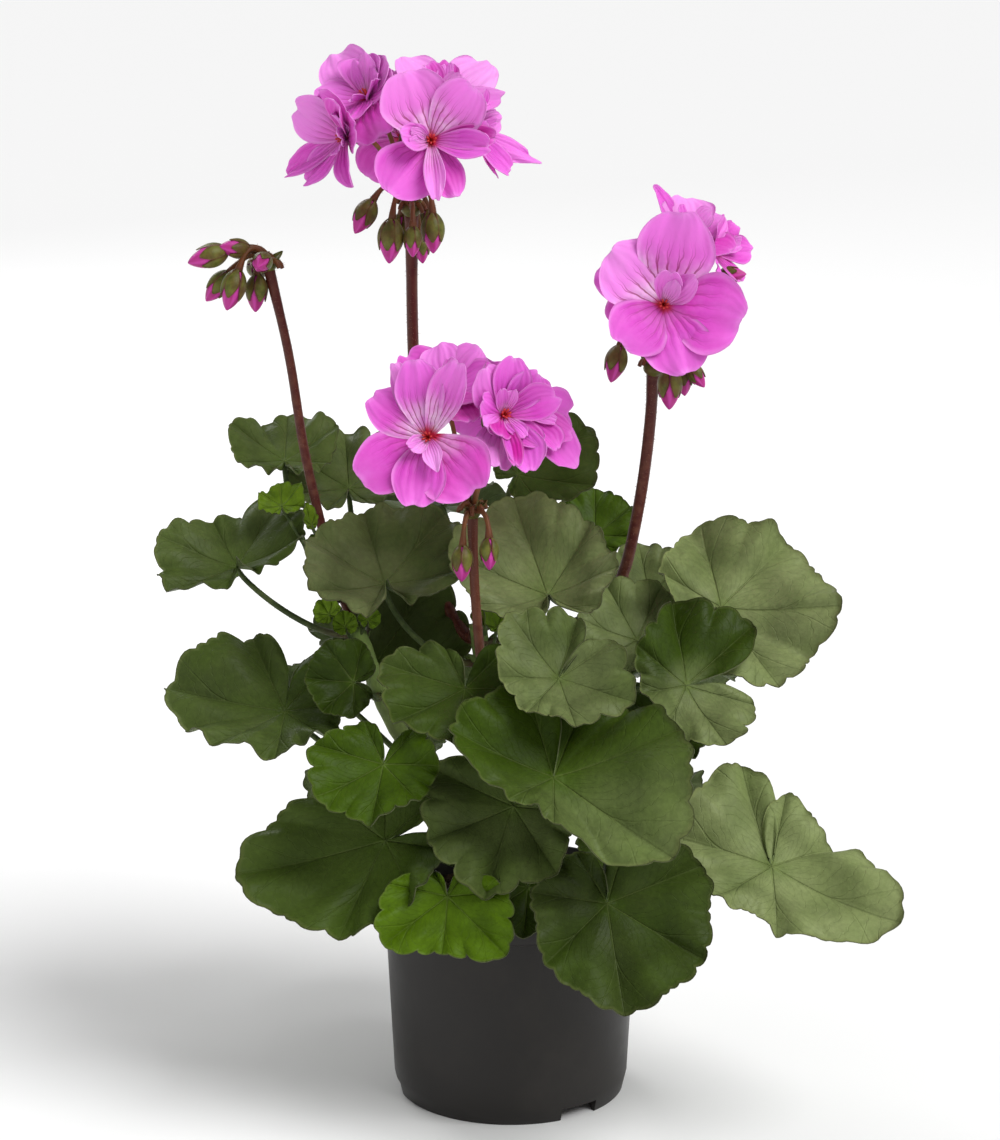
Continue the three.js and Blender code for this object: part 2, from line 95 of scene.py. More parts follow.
def addStudio():
    bpy.ops.mesh.primitive_plane_add(size=studio["floorSize"])
    floor = bpy.context.object
    floor.name = "floor"
    floor.data.materials.append(plainMaterial("floorPaper", studio["floorColor"], 0.9))
    world = bpy.data.worlds.new("studio")
    world.use_nodes = True
    sky = world.node_tree.nodes["Background"]
    sky.inputs["Color"].default_value = (*studio["worldColor"], 1)
    sky.inputs["Strength"].default_value = studio["worldStrength"]
    bpy.context.scene.world = world
    for name, setting in studio["lights"].items():
        addLight(name, *setting)
    bpy.context.scene.view_settings.view_transform = "Standard"


# Shader helpers

class Look:  # one material, with short names for the nodes that its color is mixed from
    def __init__(self, name, palette, roughness, specular=0.5, sheen=0.0):
        self.material = bpy.data.materials.new(name)
        self.material.use_nodes = True
        self.tree = self.material.node_tree
        self.shader = self.tree.nodes["Principled BSDF"]
        self.palette = palette
        self.set({"Roughness": roughness, "Specular IOR Level": specular})
        self.set({"Sheen Weight": sheen, "Sheen Roughness": 0.4})

    def set(self, values):
        for socket, value in values.items():
            self.shader.inputs[socket].default_value = value

    def node(self, kind, inputs=None, **settings):
        node = self.tree.nodes.new(kind)
        for key, value in settings.items():
            setattr(node, key, value)
        for socket, value in (inputs or {}).items():
            if isinstance(value, bpy.types.NodeSocket):
                self.tree.links.new(value, node.inputs[socket])
            else:
                node.inputs[socket].default_value = value
        return node

    def maths(self, operation, a, b=0.0):
        return self.node("ShaderNodeMath", {0: a, 1: b}, operation=operation).outputs[0]

    def plus(self, a, b):
        return self.maths("ADD", a, b)

    def minus(self, a, b):
        return self.maths("SUBTRACT", a, b)

    def times(self, a, b):
        return self.maths("MULTIPLY", a, b)

    def most(self, a, b):
        return self.maths("MAXIMUM", a, b)

    def gap(self, a, b):  # how far a is from b
        return self.maths("ABSOLUTE", self.minus(a, b))

    def saw(self, value, shift):  # 0.5 where value plus shift is whole, 0 halfway between
        return self.gap(self.maths("FRACT", self.plus(value, shift)), 0.5)

    def paint(self, ground, *coats):  # the ground color, then colors and how much of each lies over it
        self.color = (*self.palette[ground], 1)
        self.cover(*coats)

    def cover(self, *coats):  # color names of the palette, each with how much of it shows
        for color, factor in zip(coats[::2], coats[1::2]):
            inputs = {0: factor, 6: self.color, 7: (*self.palette[color], 1)}
            self.color = self.node("ShaderNodeMix", inputs, data_type="RGBA").outputs[2]

    def ramp(self, value, low, high, outLow=0.0, outHigh=1.0):
        inputs = {"Value": value, "From Min": low, "From Max": high, "To Min": outLow, "To Max": outHigh}
        return self.node("ShaderNodeMapRange", inputs, interpolation_type="SMOOTHSTEP").outputs["Result"]

    def spots(self, name):  # three values that the mesh carries
        attribute = self.node("ShaderNodeAttribute", attribute_name=name)
        return self.node("ShaderNodeSeparateXYZ", {0: attribute.outputs["Vector"]}).outputs

    def grain(self, scale, detail=3.0, roughness=0.6):
        place = self.node("ShaderNodeTexCoord").outputs["Object"]
        inputs = {"Vector": place, "Scale": scale, "Detail": detail, "Roughness": roughness}
        return self.node("ShaderNodeTexNoise", inputs).outputs["Fac"]

    def finish(self, relief, strength, distance, roughness=None):
        bump = self.node("ShaderNodeBump", {"Height": relief, "Strength": strength, "Distance": distance})
        self.tree.links.new(bump.outputs["Normal"], self.shader.inputs["Normal"])
        self.tree.links.new(self.color, self.shader.inputs["Base Color"])
        if roughness is not None:
            self.tree.links.new(roughness, self.shader.inputs["Roughness"])
        return self.material


def plainMaterial(name, color, roughness):
    look = Look(name, {}, roughness)
    look.set({"Base Color": (*color, 1)})
    return look.material


# Mesh helpers

hairs = {  # how many, and how long
    "petiole": (160, 0.8), "stalk": (900, 0.9), "stub": (40, 0.8), "pedicel": (60, 0.7),
}


def layers(*parts):  # numbers and grids stacked into triples
    return np.stack(np.broadcast_arrays(*parts), -1)


class Piece:  # gathers points, faces and what the shaders read, then becomes one object
    def __init__(self, name, materials):
        self.name = name
        self.materials = materials
        self.points, self.faces, self.slots, self.spots, self.tints = [], [], [], [], []
        self.count = 0

    def add(self, points, faces, slots, spot=(0, 0, 0), tint=(0, 0, 0)):
        points = np.asarray(points, float).reshape(-1, 3)
        self.points.append(points)
        for kept, values in ((self.spots, spot), (self.tints, tint)):
            kept.append(np.broadcast_to(np.asarray(values, float).reshape(-1, 3), points.shape))
        self.faces += [[i + self.count for i in face] for face in faces]
        self.slots += [slots] * len(faces) if isinstance(slots, int) else list(slots)
        self.count += len(points)

    def addTube(self, path, radii, sides, slot, tint=(0, 0, 0)):
        points, faces, spot = tube(path, radii, sides)
        self.add(points, faces, slot, spot, tint)

    def addSheet(self, grid, thickness, slots, spot, tint=(0, 0, 0), axes=np.eye(3), place=(0, 0, 0)):
        points, top, rest = sheet(grid, thickness)
        faceSlots = [slots[0]] * len(top) + [slots[-1]] * len(rest)  # upper face first, then the others
        spot, tint = [np.broadcast_to(value, (2, *grid.shape)).reshape(-1, 3) for value in (spot, tint)]
        self.add(points @ axes.T + place, top + rest, faceSlots, spot, tint)

    def addHairs(self, path, radii, kind, slot, spot=(0, 0, 0)):  # fine spikes that stand on a stalk
        path = np.asarray(path, float)
        tangent = np.gradient(path, axis=0)
        count, length = hairs[kind]
        for _ in range(count):
            i = rng.integers(1, len(path) - 1)
            along = tangent[i] / np.linalg.norm(tangent[i])
            side = rng.normal(size=3)
            side -= along * side.dot(along)
            side /= np.linalg.norm(side)
            root = path[i] + tangent[i] * rng.uniform(-0.5, 0.5) + side * (radii[i] - 0.1)
            tip = root + (side + 0.4 * rng.normal(size=3)) * length * rng.uniform(0.6, 1.2)
            behind, other = root - 0.05 * along, 0.08 * np.cross(along, side)
            corners = [root + 0.09 * along, behind + other, behind - other, tip]
            self.add(corners, [(0, 2, 1), (0, 1, 3), (1, 2, 3), (2, 0, 3)], slot, spot)

    def build(self, slot, *nodes):
        mesh = bpy.data.meshes.new(self.name)
        mesh.from_pydata((np.concatenate(self.points) * mm).tolist(), [], self.faces)
        mesh.polygons.foreach_set("use_smooth", [True] * len(self.faces))
        mesh.polygons.foreach_set("material_index", self.slots)
        for name, values in (("spot", self.spots), ("tint", self.tints)):
            attribute = mesh.attributes.new(name, "FLOAT_VECTOR", "POINT")
            attribute.data.foreach_set("vector", np.concatenate(values).ravel())
        for material in self.materials:
            mesh.materials.append(material)
        mesh.validate()
        piece = bpy.data.objects.new(self.name, mesh)
        bpy.context.collection.objects.link(piece)
        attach(piece, "root")
        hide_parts(*nodes)
        return piece


def gridFaces(rows, columns, closed=False):
    a = np.arange(rows * columns).reshape(rows, columns)
    b = np.roll(a, -1, axis=1) if closed else a[:, 1:]
    a = a if closed else a[:, :-1]
    return np.stack([a[:-1], b[:-1], b[1:], a[1:]], -1).reshape(-1, 4)


def ringFaces(rows, sides):  # rings of points joined up, with both ends closed
    last = (rows - 1) * sides
    ends = [list(range(sides))[::-1], list(range(last, last + sides))]
    return gridFaces(rows, sides, closed=True).tolist() + ends


def sheet(grid, thickness):  # a closed skin round a grid of middle points: points, upper faces, other faces
    rows, columns = grid.shape[:2]
    normal = np.cross(np.gradient(grid, axis=0), np.gradient(grid, axis=1))
    normal /= np.linalg.norm(normal, axis=2, keepdims=True) + 1e-12
    points = np.stack([grid + normal * thickness / 2, grid - normal * thickness / 2]).reshape(-1, 3)
    top = gridFaces(rows, columns)[:, ::-1]
    under = top[:, ::-1] + rows * columns
    index = np.arange(rows * columns).reshape(rows, columns)
    loop = np.concatenate([index[0, :-1], index[:-1, -1], index[-1, :0:-1], index[:0:-1, 0]])
    after = np.roll(loop, -1)
    rim = np.stack([loop, after, after + rows * columns, loop + rows * columns], -1)[:, ::-1]
    return points, top.tolist(), under.tolist() + rim.tolist()


def tube(path, radii, sides):  # a round rod along a path, closed at both ends
    path = np.asarray(path, float)
    radii = np.broadcast_to(np.asarray(radii, float), len(path))
    tangent = np.gradient(path, axis=0)
    tangent /= np.linalg.norm(tangent, axis=1, keepdims=True)
    side = np.cross(tangent[0], (0.3, 0.9, 0.2))
    turn = np.linspace(0, fullTurn, sides, endpoint=False)[:, None]
    rings = []
    for point, along, radius in zip(path, tangent, radii):
        side = side - along * side.dot(along)
        side /= np.linalg.norm(side)
        rings.append(point + radius * (np.cos(turn) * side + np.sin(turn) * np.cross(along, side)))
    share = np.repeat(np.linspace(0, 1, len(path)), sides)
    around = np.tile(np.arange(sides) / sides, len(path))
    return np.concatenate(rings), ringFaces(len(path), sides), layers(share, around, 0)


def bezier(points, count):
    t = np.linspace(0, 1, count)[:, None]
    if len(points) == 3:
        weights = ((1 - t) ** 2, 2 * t * (1 - t), t ** 2)
    else:
        weights = ((1 - t) ** 3, 3 * t * (1 - t) ** 2, 3 * t ** 2 * (1 - t), t ** 3)
    return sum(weight * np.asarray(point, float) for weight, point in zip(weights, points))


def hermite(t, start, startSlope, end, endSlope):
    return (2 * t ** 3 - 3 * t ** 2 + 1) * start + (t ** 3 - 2 * t ** 2 + t) * startSlope \
        + (3 * t ** 2 - 2 * t ** 3) * end + (t ** 3 - t ** 2) * endSlope


def smoothCurve(points, shares):  # centripetal curve through the points, shares from 0 to 1
    points = np.asarray(points, float)
    padded = np.vstack([2 * points[0] - points[1], points, 2 * points[-1] - points[-2]])
    result = []
    for share in shares:
        place = min(share, 1) * (len(points) - 1)
        i = min(int(place), len(points) - 2)
        p0, p1, p2, p3 = padded[i:i + 4]
        d0, d1, d2 = [math.sqrt(np.linalg.norm(b - a)) for a, b in ((p0, p1), (p1, p2), (p2, p3))]
        m1 = ((p1 - p0) / d0 - (p2 - p0) / (d0 + d1) + (p2 - p1) / d1) * d1
        m2 = ((p2 - p1) / d1 - (p3 - p1) / (d1 + d2) + (p3 - p2) / d2) * d1
        result.append(hermite(place - i, p1, m1, p2, m2))
    return np.array(result)


def axesFor(look, spin):  # columns: middle vein, across, upper face
    turn, rise, roll = look[0] * degree, look[1] * degree, spin * degree
    normal = np.array([math.sin(turn) * math.cos(rise), -math.cos(turn) * math.cos(rise), math.sin(rise)])
    downhill = np.array([math.sin(turn) * math.sin(rise), -math.cos(turn) * math.sin(rise), -math.cos(rise)])
    middle = downhill * math.cos(roll) + np.cross(normal, downhill) * math.sin(roll)
    return np.stack([middle, np.cross(normal, middle), normal], 1)


def smoothStep(value, low, high):
    t = np.clip((value - low) / (high - low), 0, 1)
    return t * t * (3 - 2 * t)


# Pot

pot = {
    "profile": [(0, 2), (45.5, 2), (46.1, 0.3), (46.5, 0), (48.1, 0), (48.5, 0.4), (50.3, 8), (54, 82),
                (55.2, 82.6), (55.6, 83.2), (56, 90), (55.8, 91), (54.6, 91), (54.2, 90.4), (52.6, 81),
                (48.9, 8), (46.5, 3.6), (0, 3.6)],
    "sides": 180, "rowHeight": 8, "sharpAngle": 38,
    "slotTurns": [-53.5, 66.5, 186.5], "slotRadius": 50.3,
    "slotWidth": 18, "slotHeight": 5.5, "slotDepth": 9,
    "color": (0.019, 0.017, 0.0155), "dusty": (0.036, 0.032, 0.028), "roughness": 0.42,
}


def potMaterial():
    look = Look("satinPlastic", pot, pot["roughness"], 0.25)
    cloud = look.grain(28, 4)
    look.paint("color", "dusty", look.times(look.ramp(cloud, 0.45, 0.75), 0.45))
    return look.finish(look.grain(900, 2), 0.12, 0.0002, look.ramp(cloud, 0.3, 0.7, 0.36, 0.5))


def cutSlot(body, turn):  # one drain slot through the foot of the pot
    bpy.ops.mesh.primitive_cube_add(size=1)
    cutter = bpy.context.object
    cutter.scale = (pot["slotDepth"] * 2 * mm, pot["slotWidth"] * mm, pot["slotHeight"] * 2 * mm)
    cutter.location = (pot["slotRadius"] * math.cos(turn) * mm, pot["slotRadius"] * math.sin(turn) * mm, 0)
    cutter.rotation_euler = (0, 0, turn)
    modifier = body.modifiers.new("slot", "BOOLEAN")
    modifier.operation = "DIFFERENCE"
    modifier.object = cutter
    bpy.context.view_layer.objects.active = body
    bpy.ops.object.modifier_apply(modifier="slot")
    bpy.data.objects.remove(cutter)


def makePot():
    profile = []
    for (r1, z1), (r2, z2) in zip(pot["profile"], pot["profile"][1:]):
        steps = max(1, round(math.hypot(r2 - r1, z2 - z1) / pot["rowHeight"]))
        profile += [(r1 + (r2 - r1) * i / steps, z1 + (z2 - z1) * i / steps) for i in range(steps)]
    profile.append(pot["profile"][-1])
    turns = np.linspace(0, fullTurn, pot["sides"], endpoint=False)
    middle = [(r, z) for r, z in profile if r > 0]
    piece = Piece("pot_body", [potMaterial()])
    grid = [(r * math.cos(a), r * math.sin(a), z) for r, z in middle for a in turns]
    piece.add(grid, ringFaces(len(middle), pot["sides"]), 0)
    body = piece.build("pot", "pot")
    for turn in pot["slotTurns"]:
        cutSlot(body, turn * degree)
    edges = body.modifiers.new("edges", "EDGE_SPLIT")
    edges.split_angle = pot["sharpAngle"] * degree


# Soil

soil = {
    "top": 80, "crown": 3, "bottom": 4, "shoulder": 60, "radiusTop": 51.8, "radiusFoot": 45.7,
    "holeRadius": 7, "holeHeights": (46, 76), "stemPlace": (0, 2), "sides": 96, "rows": 22,
    "lump": 1.1, "smallLump": 0.6, "crumbs": 420, "crumbSize": (0.3, 1.1), "perliteShare": 0.06,
    "dark": (0.018, 0.011, 0.007), "light": (0.07, 0.043, 0.026), "perlite": (0.55, 0.53, 0.48),
}


def soilMaterial():
    look = Look("potCompost", soil, 0.95, 0.2)
    look.paint("dark", "light", look.ramp(look.grain(350, 5), 0.35, 0.7), "perlite", look.spots("tint")[0])
    return look.finish(look.grain(900, 4), 0.7, 0.0008)


def soilHeight(r):
    return soil["top"] + soil["crown"] * (1 - (r / soil["radiusTop"]) ** 2)


def addCrumb(piece):
    cube = np.array([(x, y, z) for z in (-1, 1) for y in (-1, 1) for x in (-1, 1)], float)
    faces = [(0, 2, 3, 1), (4, 5, 7, 6), (0, 1, 5, 4), (2, 6, 7, 3), (0, 4, 6, 2), (1, 3, 7, 5)]
    r = soil["holeRadius"] + 2 + (soil["radiusTop"] - soil["holeRadius"] - 4) * math.sqrt(rng.random())
    a = rng.random() * 2 * math.pi
    half = rng.uniform(*soil["crumbSize"]) * rng.uniform(0.6, 1.2, 3)
    corners = cube * half * rng.uniform(0.75, 1.1, (8, 1))
    spin = rng.random() * math.pi
    c, s = math.cos(spin), math.sin(spin)
    turned = corners @ np.array([[c, s, 0], [-s, c, 0], [0, 0, 1]])
    white = 1.0 if rng.random() < soil["perliteShare"] else 0.0
    place = (r * math.cos(a), r * math.sin(a), soilHeight(r) + 0.2)
    piece.add(turned + place, faces, 0, (0, 0, 0), (white, 0, 0))


def makeSoil():
    piece = Piece("soil_root_ball", [soilMaterial()])
    radii = np.linspace(soil["holeRadius"], soil["radiusTop"], soil["rows"])
    rows = [(soil["holeRadius"], z) for z in soil["holeHeights"]] + [(r, soilHeight(r)) for r in radii]
    rows += [(soil["radiusTop"] - 1, soil["shoulder"]), (soil["radiusFoot"], soil["bottom"])]
    stemX, stemY = soil["stemPlace"]
    grid = []
    for i, (r, z) in enumerate(rows):
        onTop = 2 < i < len(rows) - 3
        shift = max(0.0, 1 - r / 20)  # the hole stands round the stem, a little off the pot's axis
        for a in np.linspace(0, fullTurn, soil["sides"], endpoint=False):
            x, y = r * math.cos(a), r * math.sin(a)
            lift = noise.noise(Vector((x, y, 0)) * 0.22) * soil["lump"]
            lift += noise.noise(Vector((x, y, 9)) * 0.6) * soil["smallLump"]
            grid.append((x + stemX * shift, y + stemY * shift, z + lift * onTop))
    piece.add(grid, [face[::-1] for face in ringFaces(len(rows), soil["sides"])], 0)
    for _ in range(soil["crumbs"]):
        addCrumb(piece)
    piece.build("soil", "soil")


# Stem

stem = {
    "shoots": {
        "trunk": [(0, 2, 46), (0, 2, 80), (0, 3, 106)],
        "left": [(0, 2, 98), (-20, -2, 124), (-48, -6, 162), (-66, -6, 208)],
        "centre": [(0, 2, 98), (-3, 0, 130), (-9, 2, 166), (-14, 8, 204)],
        "right": [(0, 2, 98), (16, 4, 126), (33, 11, 166), (40, 20, 206)],
        "back": [(0, 2, 98), (4, 24, 126), (4, 44, 166), (-2, 54, 212)],
    },
    "trunkRadius": 6, "shootRadius": 4, "clearance": 0.35, "sides": 18, "knots": 6, "knotHeight": 0.07,
    "stipuleLength": 4.5, "stipuleThickness": 0.35,
    "woody": (0.115, 0.085, 0.045), "green": (0.13, 0.2, 0.05), "young": (0.24, 0.34, 0.08),
}


def shootRadius(name):
    return stem["trunkRadius"] if name == "trunk" else stem["shootRadius"]


def footOn(source, goal):  # where a petiole stands on the bark, and its direction there
    shoot, share = source
    here, ahead = smoothCurve(stem["shoots"][shoot], [share, share - 0.01])
    axis = (here - ahead) / np.linalg.norm(here - ahead)
    outward = np.asarray(goal, float) - here
    outward -= axis * outward.dot(axis)
    outward /= np.linalg.norm(outward)
    return here + outward * (shootRadius(shoot) + stem["clearance"]), outward, axis


def stemMaterial():
    look = Look("geraniumStem", stem, 0.6, 0.25, 0.03)
    blotch = look.times(look.ramp(look.grain(160, 4), 0.35, 0.7), 0.5)
    look.paint("woody", "green", look.spots("spot")[0], "young", blotch)
    streaks = look.node("ShaderNodeTexWave", {"Scale": 90.0, "Distortion": 6.0, "Detail": 3.0})
    return look.finish(look.plus(streaks.outputs["Fac"], look.grain(700)), 0.35, 0.0004)


def stipule(place, outward, axis, side, length):  # small ear beside the foot of a petiole
    t = np.linspace(0, 1, 6)[:, None, None]
    v = np.linspace(-1, 1, 5)[None, :, None]
    across = np.cross(axis, outward) * side
    width = length * 0.32 * np.sin(np.clip(t, 0.02, 0.98) * math.pi) ** 0.7
    middle = place + across * 1.2 + (axis * 0.75 + across * 0.5 + outward * 0.45 * t) * t * length
    return middle + np.cross(axis, across) * v * width


def makeStem(feet, leafMaterials):
    piece = Piece("stem_branched", [stemMaterial(), *leafMaterials])
    shares = np.linspace(0, 1, 40)
    for name, points in stem["shoots"].items():
        knots = 1 + stem["knotHeight"] * np.cos(shares * 2 * math.pi * stem["knots"]) ** 4
        taper = 1 if name == "trunk" else 1.02 - 0.1 * shares
        rod, faces, spot = tube(smoothCurve(points, shares), shootRadius(name) * knots * taper, stem["sides"])
        spot[:, 0] *= name != "trunk"  # the trunk is woody all along
        piece.add(rod, faces, 0, spot)
    for place, outward, axis in feet:
        for side in (-1, 1):
            ear = stipule(place, outward, axis, side, stem["stipuleLength"])
            piece.addSheet(ear, stem["stipuleThickness"], (0,), (1, 0, 0))
    for row in youngLeaves["stem"]:
        addBlade(piece, readLeaf(row), (1, 2, 3))
    piece.build("stem", "stem")


# Leaves. A row is the hub, the way the upper face looks (turn, rise), the turn of the middle vein, the shoot
# and the place of the petiole, the lengths of the seven veins or one size, the tone (paleness, which is partly
# the leaf's own and partly painted light and sheen, and below 0 painted shade; freshness) and what differs
# from the usual leaf: painted light and shade for each lobe as added paleness, rise lifts the seven vein tips,
# and each fold is a crease out from the hub (lobe position, spread, height as a share of the radius).

leafBuild = {
    "rings": 16, "steps": 182, "youngRings": 8, "youngSteps": 98, "thickness": 0.45, "sinus": 8,
    "toothSpacing": 8, "lobeDepth": 0.085, "toothDepth": 0.055, "notchStart": 0.68,
    "cup": 0.1, "pleat": 0.15, "forkPleat": 0.045,
    "wave": 0.05, "ruffle": 0.07, "foldGain": 2.1, "petioleRadius": 1.35, "youngRadius": 0.75,
    "petioleArrival": 0.3, "petioleSides": 12, "veinShares": (0.6, 0.76, 0.9, 1, 0.9, 0.76, 0.6),
}

leaves = {
    "leaf_left_top": ((-97, 45, 266), (0, 64), 180, ("left", 0.82), (14, 20, 29, 28, 31, 20, 13),
        (0.4, 0.35), {"folds": [(0.5, 0.5, -0.15)]}),
    "leaf_behind_left_head": ((-70, 54, 252), (0, 60), 185, ("left", 0.93), (19, 25, 30, 33, 32, 27, 20),
        (0.35, 0.15)),
    "leaf_left_upper": ((-116, 14, 227), (-10, 58), 212, ("left", 0.97), (14, 31, 42, 28, 34, 33, 18),
        (0.3, 0.3), {"shades": (-0.15, -0.1, 0.1, 0.1, 0.05, -0.05, -0.1), "arrive": (0.45, 0.1),
        "rise": (5, 2, 0, 0, 1, 4, 5), "folds": [(0.9, 0.7, 0.14), (-0.4, 0.8, -0.1), (2, 0.8, -0.06)]}),
    "leaf_centre_left": ((-53, -4, 224), (5, 48), 190, ("centre", 0.86), (18, 36, 43, 39, 37, 34, 24),
        (0.7, 0.08), {"shades": (-0.3, -0.5, -0.45, -0.2, 0, 0.1, 0.15), "rise": (6, 5, 1, 0, 2, 7, 8),
        "folds": [(0, 0.9, -0.12), (1.4, 0.6, 0.14), (-1.5, 0.7, -0.06)]}),
    "leaf_centre_right": ((15, -11, 221), (-5, 42), 200, ("centre", 0.93), (26, 31, 36, 49, 45, 27, 17),
        (0.7, 0.08), {"shades": (0.15, 0, -0.1, 0.05, 0.1, -0.1, -0.25), "rise": (9, 8, 1, 0, 0, 3, 5),
        "folds": [(-2.2, 0.7, 0.15), (0.3, 0.7, -0.1), (2, 0.7, 0.08)]}),
    "leaf_left_dark": ((-58, 15, 184), (0, 42), 148, ("left", 0.55), (17, 29, 42, 46, 32, 20, 16),
        (0.15, 0.05), {"folds": [(0.5, 0.7, 0.14)]}),
    "leaf_left_small": ((-65, -34, 190), (-10, 30), -90, ("left", 0.78), (11, 17, 19, 20, 18, 16, 11),
        (-0.1, 0.1), {"folds": [(-1, 1, 0.15)]}),
    "leaf_left_wide": ((-94, -26, 175), (-10, 60), 3, ("left", 0.5), (46, 54, 36, 28, 27, 29, 40),
        (0.17, 0.2), {"rise": (-4, -6, -3, 0, 0, 0, -2), "shades": (0, 0.05, 0.12, 0, -0.05, -0.05, -0.1),
        "sinus": 0, "folds": [(-2.5, 0.5, 0.06), (-0.5, 0.6, 0.1), (1.4, 0.8, -0.08), (-1.5, 0.4, -0.08)]}),
    "leaf_front_upper": ((-19, -44, 190), (0, 46), -8, ("centre", 0.7), (21, 36, 35, 28, 26, 29, 27),
        (0.04, 0.1), {"shades": (0.05, 0.05, 0, 0, -0.1, -0.2, -0.2), "folds": [(2.6, 0.8, -0.12)]}),
    "leaf_front_left": ((-52, -65, 164), (-5, 42), -6, ("centre", 0.35), (21, 30, 32, 28, 23, 23, 21),
        (-0.05, 0.5), {"folds": [(1.5, 0.9, -0.12)]}),
    "leaf_low_left": ((-52, -45, 125), (-15, 38), -68, ("left", 0.1), (38, 26, 36, 63, 46, 36, 32),
        (0.3, 0.5), {"shades": (0, 0.05, 0.1, 0, -0.1, -0.15, -0.1), "sinus": 0,
        "folds": [(0.6, 0.9, -0.1), (-1.2, 0.7, 0.12), (2.2, 0.8, 0.12)]}),
    "leaf_front_middle": ((1, -58, 144), (-14, 37), -10, ("centre", 0.25), (24, 36, 38, 41, 37, 26, 17),
        (0.3, 0.2), {"folds": [(0, 0.8, -0.1), (-1.5, 0.7, 0.08)]}),
    "leaf_front_right": ((17, -76, 162), (5, 42), -5, ("centre", 0.5), (43, 46, 23, 24, 60, 52, 43),
        (0.06, 0.3), {"rise": (5, 4, 6, 4, -2, 2, -2), "shades": (-0.06, -0.08, 0.1, 0.3, 0.55, 0.1, -0.08),
        "sinus": -9, "folds": [(1.7, 0.8, 0.14), (-0.6, 0.5, 0.1), (0.6, 0.5, -0.1), (2.6, 0.6, -0.1)]}),
    "leaf_front_pale": ((19, -64, 200), (-5, 46), -34, ("centre", 0.8), (30, 33, 24, 21, 25, 33, 28),
        (0.42, 0.06), {"shades": (-0.15, -0.05, 0.15, 0.2, 0.1, -0.05, 0), "slot": "leaf_pale", "sinus": -6,
        "rise": (-1, 0, 0, 0, 0, 0, 4), "folds": [(2.4, 0.9, -0.12), (-2, 1, 0.06)]}),
    "leaf_right_top": ((88, 0, 213), (10, 39), 130, ("right", 0.92), (30, 44, 48, 42, 41, 30, 18),
        (0.82, 0.05), {"shades": (-0.1, 0.05, 0, 0.1, -0.1, 0, -0.3), "slot": "leaf_pale", "sinus": -4,
        "rise": (4, 2, 0, 0, 0, 0, -2),
        "folds": [(1.1, 0.8, -0.16), (-0.9, 0.6, 0.14), (-1.6, 0.5, -0.1)]}),
    "leaf_right_middle": ((72, -36, 189), (20, 30), -85, ("right", 0.75), (42, 38, 27, 21, 24, 30, 32),
        (0.5, 0.1), {"shades": (-0.5, -0.6, -0.5, -0.2, 0.15, 0.2, 0.2), "sinus": 3,
        "folds": [(-2, 0.9, -0.16), (2, 0.8, 0.1)]}),
    "leaf_right_low": ((108, -46, 114), (10, 50), -5, ("right", 0.12), (48, 44, 33, 31, 59, 30, 33),
        (0.9, 0.08), {"rise": (0, 0, 0, -2, -8, -3, 2), "sinus": -14,
        "shades": (-0.1, 0, -0.15, 0, 0.12, 0.1, 0), "slot": "leaf_pale",
        "folds": [(1.4, 0.8, 0.1), (-1.6, 0.8, -0.1)]}),
    "leaf_low_front": ((39, -78, 109), (5, 28), 5, ("trunk", 0.86), (26, 32, 37, 47, 46, 42, 28),
        (0.04, 0.08), {"shades": (0, 0.08, 0, 0.05, 0, 0.06, 0), "sinus": -3,
        "folds": [(-0.5, 0.6, 0.06), (1, 0.6, -0.06)]}),
    "leaf_low_yellow": ((-26, -72, 110), (-10, 22), 0, ("trunk", 0.8), (13, 24, 33, 24, 35, 26, 14),
        (0.0, 1.1), {"slot": "leaf_yellow"}),
    "leaf_behind_centre_head": ((3, 45, 260), (15, 45), 120, ("centre", 0.98), (12, 20, 33, 38, 24, 14, 11),
        (0.12, 0.2)),
    "leaf_right_inner": ((53, -2, 199), (10, 45), 200, ("right", 0.86), 30, (0.85, 0.2)),
    "leaf_right_behind": ((60, 42, 207), (0, 50), 190, ("right", 0.85), 27, (0.55, 0.1)),
    "leaf_right_tucked": ((63, 6, 164), (5, 50), -20, ("right", 0.3), 30, (0.05, 0.3)),
    "leaf_low_right": ((54, -24, 118), (5, 50), 10, ("right", 0.3), 36, (0.05, 0.2)),
    "leaf_low_dark": ((7, -44, 104), (0, 40), -5, ("trunk", 0.75), 24, (0.0, 0.1)),
    "leaf_bright_behind": ((37, 68, 228), (0, 50), 180, ("back", 0.95), 23, (0.05, 0.55),
        {"slot": "leaf_young"}),
    "leaf_back_top": ((-30, 72, 240), (190, 56), 10, ("back", 0.9), 40, (0.3, 0.15),
        {"folds": [(1, 0.8, 0.1)]}),
    "leaf_back_left": ((-54, 64, 190), (205, 48), 20, ("back", 0.75), 38, (0.15, 0.2),
        {"folds": [(-1.4, 0.8, 0.1)]}),
    "leaf_back_right": ((62, 64, 172), (150, 50), -15, ("back", 0.6), 42, (0.4, 0.1),
        {"folds": [(0.5, 0.8, -0.1)]}),
    "leaf_back_upper": ((44, 72, 202), (165, 52), 0, ("back", 0.8), 34, (0.2, 0.3),
        {"folds": [(1.5, 0.8, 0.1)]}),
    "leaf_back_middle": ((4, 70, 158), (180, 44), 0, ("back", 0.45), 42, (0.25, 0.1),
        {"folds": [(-0.6, 0.8, 0.1)]}),
    "leaf_back_low_left": ((-56, 54, 128), (210, 38), 0, ("back", 0.2), 42, (0.15, 0.2),
        {"folds": [(0.6, 0.8, -0.1)]}),
    "leaf_back_low_right": ((50, 58, 118), (150, 36), 0, ("back", 0.1), 42, (0.1, 0.3),
        {"folds": [(-1.6, 0.8, 0.1)]}),
    "leaf_side_left": ((-88, 46, 168), (235, 45), 0, ("left", 0.42), 32, (0.15, 0.2)),
    "leaf_side_right": ((96, 50, 190), (125, 44), 0, ("right", 0.6), 34, (0.5, 0.1)),
}
